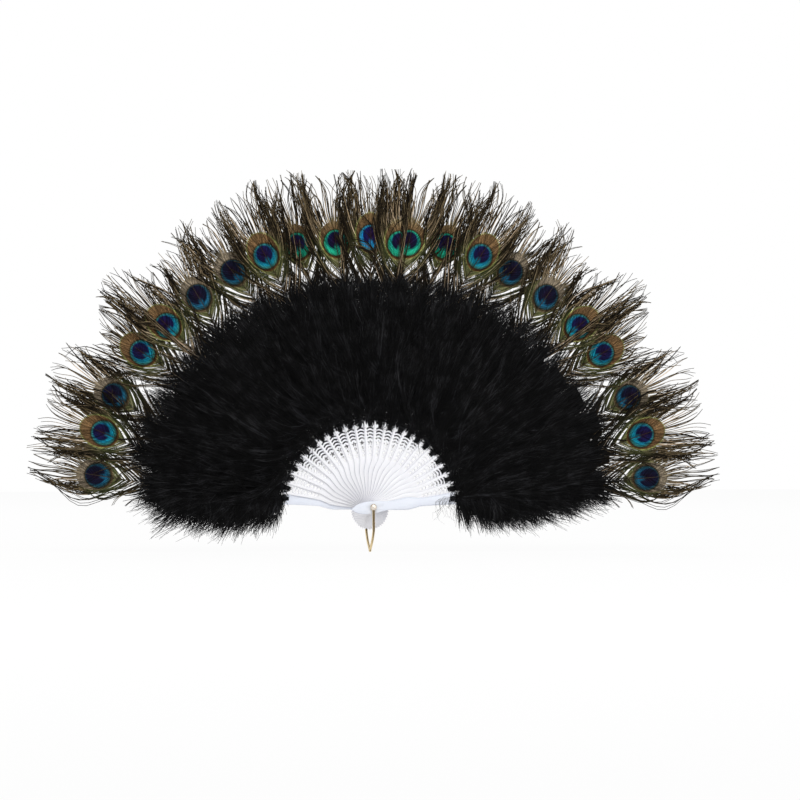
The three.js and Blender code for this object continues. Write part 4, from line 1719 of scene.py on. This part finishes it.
    def hanging(self, rng: np.random.Generator, free: float) -> tuple[Array, Array]:
        """The fibres that hang over a guard's free side, longest at the middle of the plume.

        Args:
            rng: Random source.
            free: 1 if the free side is to the left of the stick's line, -1 if to the right.

        Returns:
            Paths and tones.
        """
        kind, count = self.hanging_kind, self.hanging_kind.count
        clump = np.arange(count) // self.clump
        clumps = clump[-1] + 1
        low, high = kind.root
        root = low + (high - low) * rng.random(clumps) ** self.hang_crowding
        angle = rng.uniform(*kind.angle, clumps)
        middle = root + self.hang_ahead * np.cos(np.radians(angle))
        side = 0 if free > 0 else 1
        room = self.hang[side] * np.interp(middle, self.hang_keys, self.hang_share[side])
        slope = np.sin(np.radians(np.clip(angle, *self.hang_turn)))
        length = room * rng.uniform(*kind.length, clumps) / slope
        depth = self.depths(rng, root)[clump] * rng.uniform(*kind.depth, count)
        root = root[clump] + rng.normal(0, self.root_spread, count)
        angle = free * angle[clump] + rng.normal(0, self.hang_turn_spread, count)
        length = length[clump] * rng.uniform(*self.hang_range, count)
        return self.fibre_paths(rng, kind, clump, root, angle, length, depth)

    def strays(self, rng: np.random.Generator) -> tuple[Array, Array]:
        """A few loose curly fibres that hang from the down's inner corner below the front guard."""
        kind, count = self.stray_kind, self.stray_kind.count
        root = rng.uniform(*kind.root, count)
        angle = -rng.normal(*kind.angle, count)
        length = rng.uniform(*kind.length, count)
        depth = rng.uniform(*kind.depth, count)
        paths, tone = self.fibre_paths(rng, kind, np.arange(count), root, angle, length, depth)
        least, varied = self.stray_tone
        return paths, tone * varied + least

    def core(self, outer: float) -> tuple[Array, Faces]:
        """The matted middle of a plume: a flat wedge before and one behind the rib, with oval sections.

        Args:
            outer: How far out the plume reaches.

        Returns:
            Points (along, across, towards the front) in millimetres, and the faces.
        """
        rows, sides = self.core_grid
        start, short_of = self.core_span
        wide, deep = self.core_half
        along = np.linspace(start, outer - short_of, rows)
        turn = np.arange(sides) * 2 * math.pi / sides
        half = along * math.tan(self.layout.opening / (self.layout.count - 1) / 2) * wide
        half = half * np.interp(np.arange(rows), [0, 1, rows - 2, rows - 1], self.core_taper)
        caps = [np.arange(sides)[::-1][None], (rows - 1) * sides + np.arange(sides)[None]]
        solids = []
        for height in (self.core_height, -self.core_height):
            section = np.stack(
                [
                    np.broadcast_to(along[:, None], self.core_grid),
                    half[:, None] * np.cos(turn),
                    np.broadcast_to(height + deep * np.sin(turn), self.core_grid),
                ],
                -1,
            )
            solids.append((section.reshape(-1, 3), [grid_faces(rows, sides, True), *caps]))
        return joined(*solids)

    def build(self, material: bpy.types.Material) -> None:
        """Builds the plume of every stick with the down's material."""
        share = np.linspace(0, 1, self.stations)
        for stick in range(self.layout.count):
            rng = np.random.default_rng(self.seed + stick)
            outer = float(np.interp(stick, self.reach_keys, self.reach))
            parts = [self.long_fibres(rng, outer)]
            parts += self.inner_edge(rng, stick)
            if self.layout.is_guard(stick):
                parts.append(self.hanging(rng, -1.0 if stick else 1.0))
            if stick == self.layout.count - 1:
                parts.append(self.strays(rng))
            local, tone = (np.concatenate(part) for part in zip(*parts))
            count = len(local)
            paths = self.layout.place(stick, local * MM)
            half = np.tile(self.width[0] + (self.width[1] - self.width[0]) * share**1.5, (count, 1)) * MM
            if stick == self.layout.count - 1:
                half[-self.stray_kind.count :] *= self.stray_width
            core, core_faces = self.core(outer)
            # The facing is turned a little, so that no fibre runs along it.
            fibres = strands(paths, half, half * self.ridge, FRONT + 0.01)
            points, faces = joined(fibres, (self.layout.place(stick, core * MM), core_faces))
            core_tone = np.full(len(core), self.core_tone)
            values = {
                "tone": np.concatenate([np.repeat(tone, self.stations * 3), core_tone]),
                "along": np.concatenate([np.tile(np.repeat(share, 3), count), np.zeros(len(core))]),
            }
            piece = mesh_object(f"down_plume_{stick:02d}", points, faces, values)
            piece.data.materials.append(material)
            keep, aside = self.folded.get(stick, (self.keep, 0.0))
            self.layout.carry(piece, stick, Slot.DOWN, keep, aside * MM)
            if stick % 3 == 0:
                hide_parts(f"marabou_tuft_{stick // 3 + 1:02d}")
            LOG.info("%s: %d fibres", piece.name, count)


@dataclass
class LinkingRibbon:
    """The ribbon laced through the ribs: one short length at every stick, weaving from back to front."""

    layout: Layout
    radius: float = 89
    half_width: float = 0.6
    half_thickness: float = 0.2
    wave: float = 1.2
    steps: int = 13
    sharp: float = 50
    keep: float = 0.12

    def build(self, material: bpy.types.Material) -> None:
        """Builds a length of ribbon half a step to each side of every stick.

        Its middle line runs round the rivet, and stands off the line between the layers by a sine of one
        wave a step.

        Args:
            material: The ribbon's finish.
        """
        last = self.layout.count - 1
        corners = np.array([[-1, -1], [-1, 1], [1, 1], [1, -1]]) * [self.half_width, self.half_thickness]
        for stick in range(self.layout.count):
            place = np.linspace(max(stick - 0.5, 0), min(stick + 0.5, last), self.steps)
            turn = math.pi / 2 + (self.layout.middle - place) * self.layout.opening / last
            weave = self.wave * MM * np.sin(2 * math.pi * place)
            height = (self.layout.middle - place) * self.layout.pitch - weave
            reach = (self.radius + corners[:, 0])[None] * MM
            points = np.stack(
                [
                    reach * np.cos(turn)[:, None],
                    height[:, None] + corners[None, :, 1] * MM,
                    reach * np.sin(turn)[:, None],
                ],
                -1,
            ).reshape(-1, 3)
            end = (self.steps - 1) * 4
            caps = np.array([[3, 2, 1, 0], [end, end + 1, end + 2, end + 3]])
            faces = [grid_faces(self.steps, 4, True), caps]
            piece = mesh_object(f"ribbon_length_{stick:02d}", points, faces, sharp=self.sharp)
            piece.data.materials.append(material)
            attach(piece, self.layout.body(stick))
            angle = self.layout.angle(stick)
            cosine, sine, radius = math.cos(angle), math.sin(angle), self.radius * MM
            anchor = (radius * cosine, self.layout.layer(stick), radius * sine)
            self.layout.fold(stick)
            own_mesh(piece)
            if stick == self.layout.middle:
                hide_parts("linking_ribbon")
            LOG.info("%s", piece.name)


@dataclass
class Hardware:
    """The rivet with its domed head, the washer behind, and the wire bail on both ends of the rivet."""

    layout: Layout
    pin: float = 1.5
    hole: float = 1.9
    eyelet_faces: Pair = (17.0, 18.7)
    eyelet: float = 3.3
    gap: float = 0.3
    head: Pair = (3.1, 1.9)
    washer: Pair = (4.0, 0.7)
    button: Pair = (2.6, 1.2)
    wire: float = 1.25
    leg: tuple[Pair, ...] = (
        (17.85, -2.6), (17.85, -13.8), (17.85, -23), (11.2, -33), (2.6, -40.4), (0, -43),
    )
    ease: float = 0.18
    head_steps: int = 9
    button_steps: int = 7
    sides: int = 36
    wire_sides: int = 14
    wire_stations: int = 120
    eyelet_sides: int = 32
    sharp: float = 40

    def dome(self, radius: float, height: float, steps: int) -> Array:
        """A quarter of an oval from the axis to the rim, as (radius, height)."""
        turn = np.linspace(0, math.pi / 2, steps)
        return np.stack([radius * np.sin(turn), height * np.cos(turn)], -1)

    def rivet_profile(self) -> Array:
        """The rivet's half section from the tip of its head along Y to its closed end."""
        head_face = -(self.eyelet_faces[1] + self.gap)
        button_face = self.eyelet_faces[1] + 2 * self.gap + self.washer[1]
        head = self.dome(*self.head, self.head_steps) * [1, -1] + [0, head_face]
        button = self.dome(*self.button, self.button_steps)[::-1] + [0, button_face]
        return np.concatenate([head, [[self.pin, head_face], [self.pin, button_face]], button])

    def washer_profile(self) -> Array:
        """The washer's half section, a bar with eased corners."""
        low = self.eyelet_faces[1] + self.gap
        high, ease = low + self.washer[1], self.ease
        inner, outer = self.hole, self.washer[0]
        return np.array(
            [
                [inner, low + ease], [inner + ease, low], [outer - ease, low], [outer, low + ease],
                [outer, high - ease], [outer - ease, high], [inner + ease, high], [inner, high - ease],
            ]
        )

    def eyelet_profile(self, front: bool) -> Array:
        """One bent eye of the bail's wire: an oval section round the rivet."""
        low, high = self.eyelet_faces
        middle = -(low + high) / 2 if front else (low + high) / 2
        turn = np.arange(self.wire_sides) * 2 * math.pi / self.wire_sides
        radius = (self.eyelet + self.hole) / 2 - (self.eyelet - self.hole) / 2 * np.cos(turn)
        return np.stack([radius, middle - (high - low) / 2 * np.sin(turn)], -1)

    def bail_solid(self) -> tuple[Array, Faces]:
        """The bail: its wire carried along the two legs and the bend, and an eye at each end."""
        side = np.array(self.leg)
        keys = np.concatenate([side * [-1, 1], side[-2::-1]])
        route = through(keys, self.wire_stations)
        path = np.stack([np.zeros(len(route)), route[:, 0], route[:, 1]], -1)
        wire = tube(path, np.full(len(path), self.wire), self.wire_sides, np.array([1.0, 0.0, 0.0]))
        eyelets = [turned(self.eyelet_profile(front), self.eyelet_sides, True) for front in (True, False)]
        return joined(wire, *eyelets)

    def build(self, rivet: bpy.types.Material, gilt: bpy.types.Material) -> None:
        """Builds the metal pieces.

        Args:
            rivet: Finish of the rivet and the washer.
            gilt: Finish of the bail, whose dark middle and pale sides are painted reflection.
        """
        root = self.layout.body(self.layout.middle)
        pin = turned(self.rivet_profile(), self.sides, False)
        washer = turned(self.washer_profile(), self.sides, True)
        solids = (
            ("rivet_domed", pin, "pivot_rivet", root, rivet, Slot.RIVET),
            ("washer_eased", washer, "rivet_washer", root, rivet, Slot.RIVET),
            ("bail_wire", self.bail_solid(), "bail", "bail", gilt, Slot.GILT),
        )
        for name, (points, faces), node, body, material, slot in solids:
            piece = mesh_object(name, points * MM, faces, sharp=self.sharp)
            piece.data.materials.append(material)
            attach(piece, body)
            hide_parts(node)
            LOG.info("%s: %d points", name, len(points))


@dataclass
class Studio:
    """The camera at the photograph's angle, soft lights, and a plain pale floor."""

    image: float = 800
    pixels_per_mm: float = 1.017
    pivot_pixel: Pair = (370, 507)
    yaw: float = math.radians(-12)
    distance: float = 6.0
    sensor: float = 36
    farthest: float = 40
    floor_height: float = -0.0445
    floor_half: float = 4.0
    floor_white: float = 0.94
    floor_roughness: float = 0.9
    ambient: float = 0.53
    aim: Triple = (0, 0, 0.12)
    lamps: tuple[tuple[str, Triple, float, float], ...] = (
        ("key", (-0.5, -2.5, 2.6), 1.4, 50.0),
        ("fill", (1.4, -2.8, 0.35), 1.8, 18.0),
        ("back", (0.3, 2.2, 1.8), 1.6, 14.0),
    )

    def camera(self) -> None:
        """Sets the camera so that the rivet falls on its pixel of the photograph."""
        right = np.array([math.cos(self.yaw), math.sin(self.yaw), 0])
        view = np.array([-math.sin(self.yaw), math.cos(self.yaw), 0])
        scale = self.pixels_per_mm / MM
        target = right * (self.image / 2 - self.pivot_pixel[0]) / scale
        target = target + np.array([0, 0, (self.pivot_pixel[1] - self.image / 2) / scale])
        data = bpy.data.cameras.new("photo_camera")
        data.sensor_width = self.sensor
        data.lens = self.sensor * self.distance / (self.image / scale)
        data.clip_end = self.farthest
        camera = bpy.data.objects.new("photo_camera", data)
        camera.location = target - view * self.distance
        camera.rotation_euler = (math.pi / 2, 0, self.yaw)
        bpy.context.scene.collection.objects.link(camera)
        bpy.context.scene.camera = camera

    def light(self) -> None:
        """Places the soft square lamps, all turned to the fan."""
        for name, place, size, power in self.lamps:
            data = bpy.data.lights.new(name, "AREA")
            data.size = size
            data.energy = power
            lamp = bpy.data.objects.new(name, data)
            lamp.location = place
            away = np.array(place) - self.aim
            lamp.rotation_euler = (
                math.atan2(math.hypot(away[0], away[1]), away[2]), 0, math.atan2(away[0], -away[1]),
            )
            bpy.context.scene.collection.objects.link(lamp)

    def white_share(self, graph: Graph, most: float) -> Socket:
        """Share of plain white that camera, mirror and glass rays see."""
        path = graph.add("LightPath")
        seen = graph.math("MAXIMUM", path.outputs["Is Camera Ray"], path.outputs["Is Glossy Ray"])
        seen = graph.math("MAXIMUM", seen, path.outputs["Is Transmission Ray"])
        return graph.math("MULTIPLY", seen, most)

    def world(self) -> None:
        """Lights the scene evenly, with a plain white behind it."""
        world = bpy.data.worlds.new("white_room")
        world.use_nodes = True
        graph = Graph(world.node_tree)
        ground = world.node_tree.nodes["Background"]
        ground.inputs["Color"].default_value = (1, 1, 1, 1)
        graph.feed(
            ground.inputs["Strength"],
            graph.math("MULTIPLY_ADD", self.white_share(graph, 1.0), 1 - self.ambient, self.ambient),
        )
        bpy.context.scene.world = world

    def floor(self) -> None:
        """Lays the pale floor, mostly plain white to the camera, with the fan's soft shadow left on it."""
        half = self.floor_half
        corners = np.array([[-half, -half], [half, -half], [half, half], [-half, half]])
        points = np.concatenate([corners, np.full((4, 1), self.floor_height)], 1)
        floor = mesh_object("floor", points, [np.array([[0, 1, 2, 3]])])
        material = bpy.data.materials.new("pale_floor")
        material.use_nodes = True
        graph = Graph(material.node_tree)
        shader = material.node_tree.nodes["Principled BSDF"]
        shader.inputs["Base Color"].default_value = linear(246, 246, 246)
        shader.inputs["Roughness"].default_value = self.floor_roughness
        glow = graph.add("Emission")
        mix = graph.add("MixShader")
        graph.feed(mix.inputs[0], self.white_share(graph, self.floor_white))
        graph.feed(mix.inputs[1], shader.outputs[0])
        graph.feed(mix.inputs[2], glow.outputs[0])
        graph.feed(material.node_tree.nodes["Material Output"].inputs["Surface"], mix.outputs[0])
        floor.data.materials.append(material)

    def build(self) -> None:
        """Builds camera, lights, world and floor."""
        self.camera()
        self.light()
        self.world()
        self.floor()
        bpy.context.scene.view_settings.view_transform = "Standard"
        LOG.info("studio ready")


def main() -> None:
    """Builds the studio and every piece of the fan."""
    logging.basicConfig(level=logging.INFO, format="%(name)s %(message)s")
    layout = Layout()
    mottle = mottle_group()
    Studio().build()
    Sticks(layout).build(PLASTIC.material(mottle), SHADED_GUARD_PLASTIC.material(mottle))
    TailFeathers(layout).build()
    DownPlumes(layout).build(DOWN.material())
    LinkingRibbon(layout).build(RIBBON.material(mottle))
    Hardware(layout).build(RIVET.material(mottle), GILT.material(mottle))


if __name__ == "__main__":
    main()
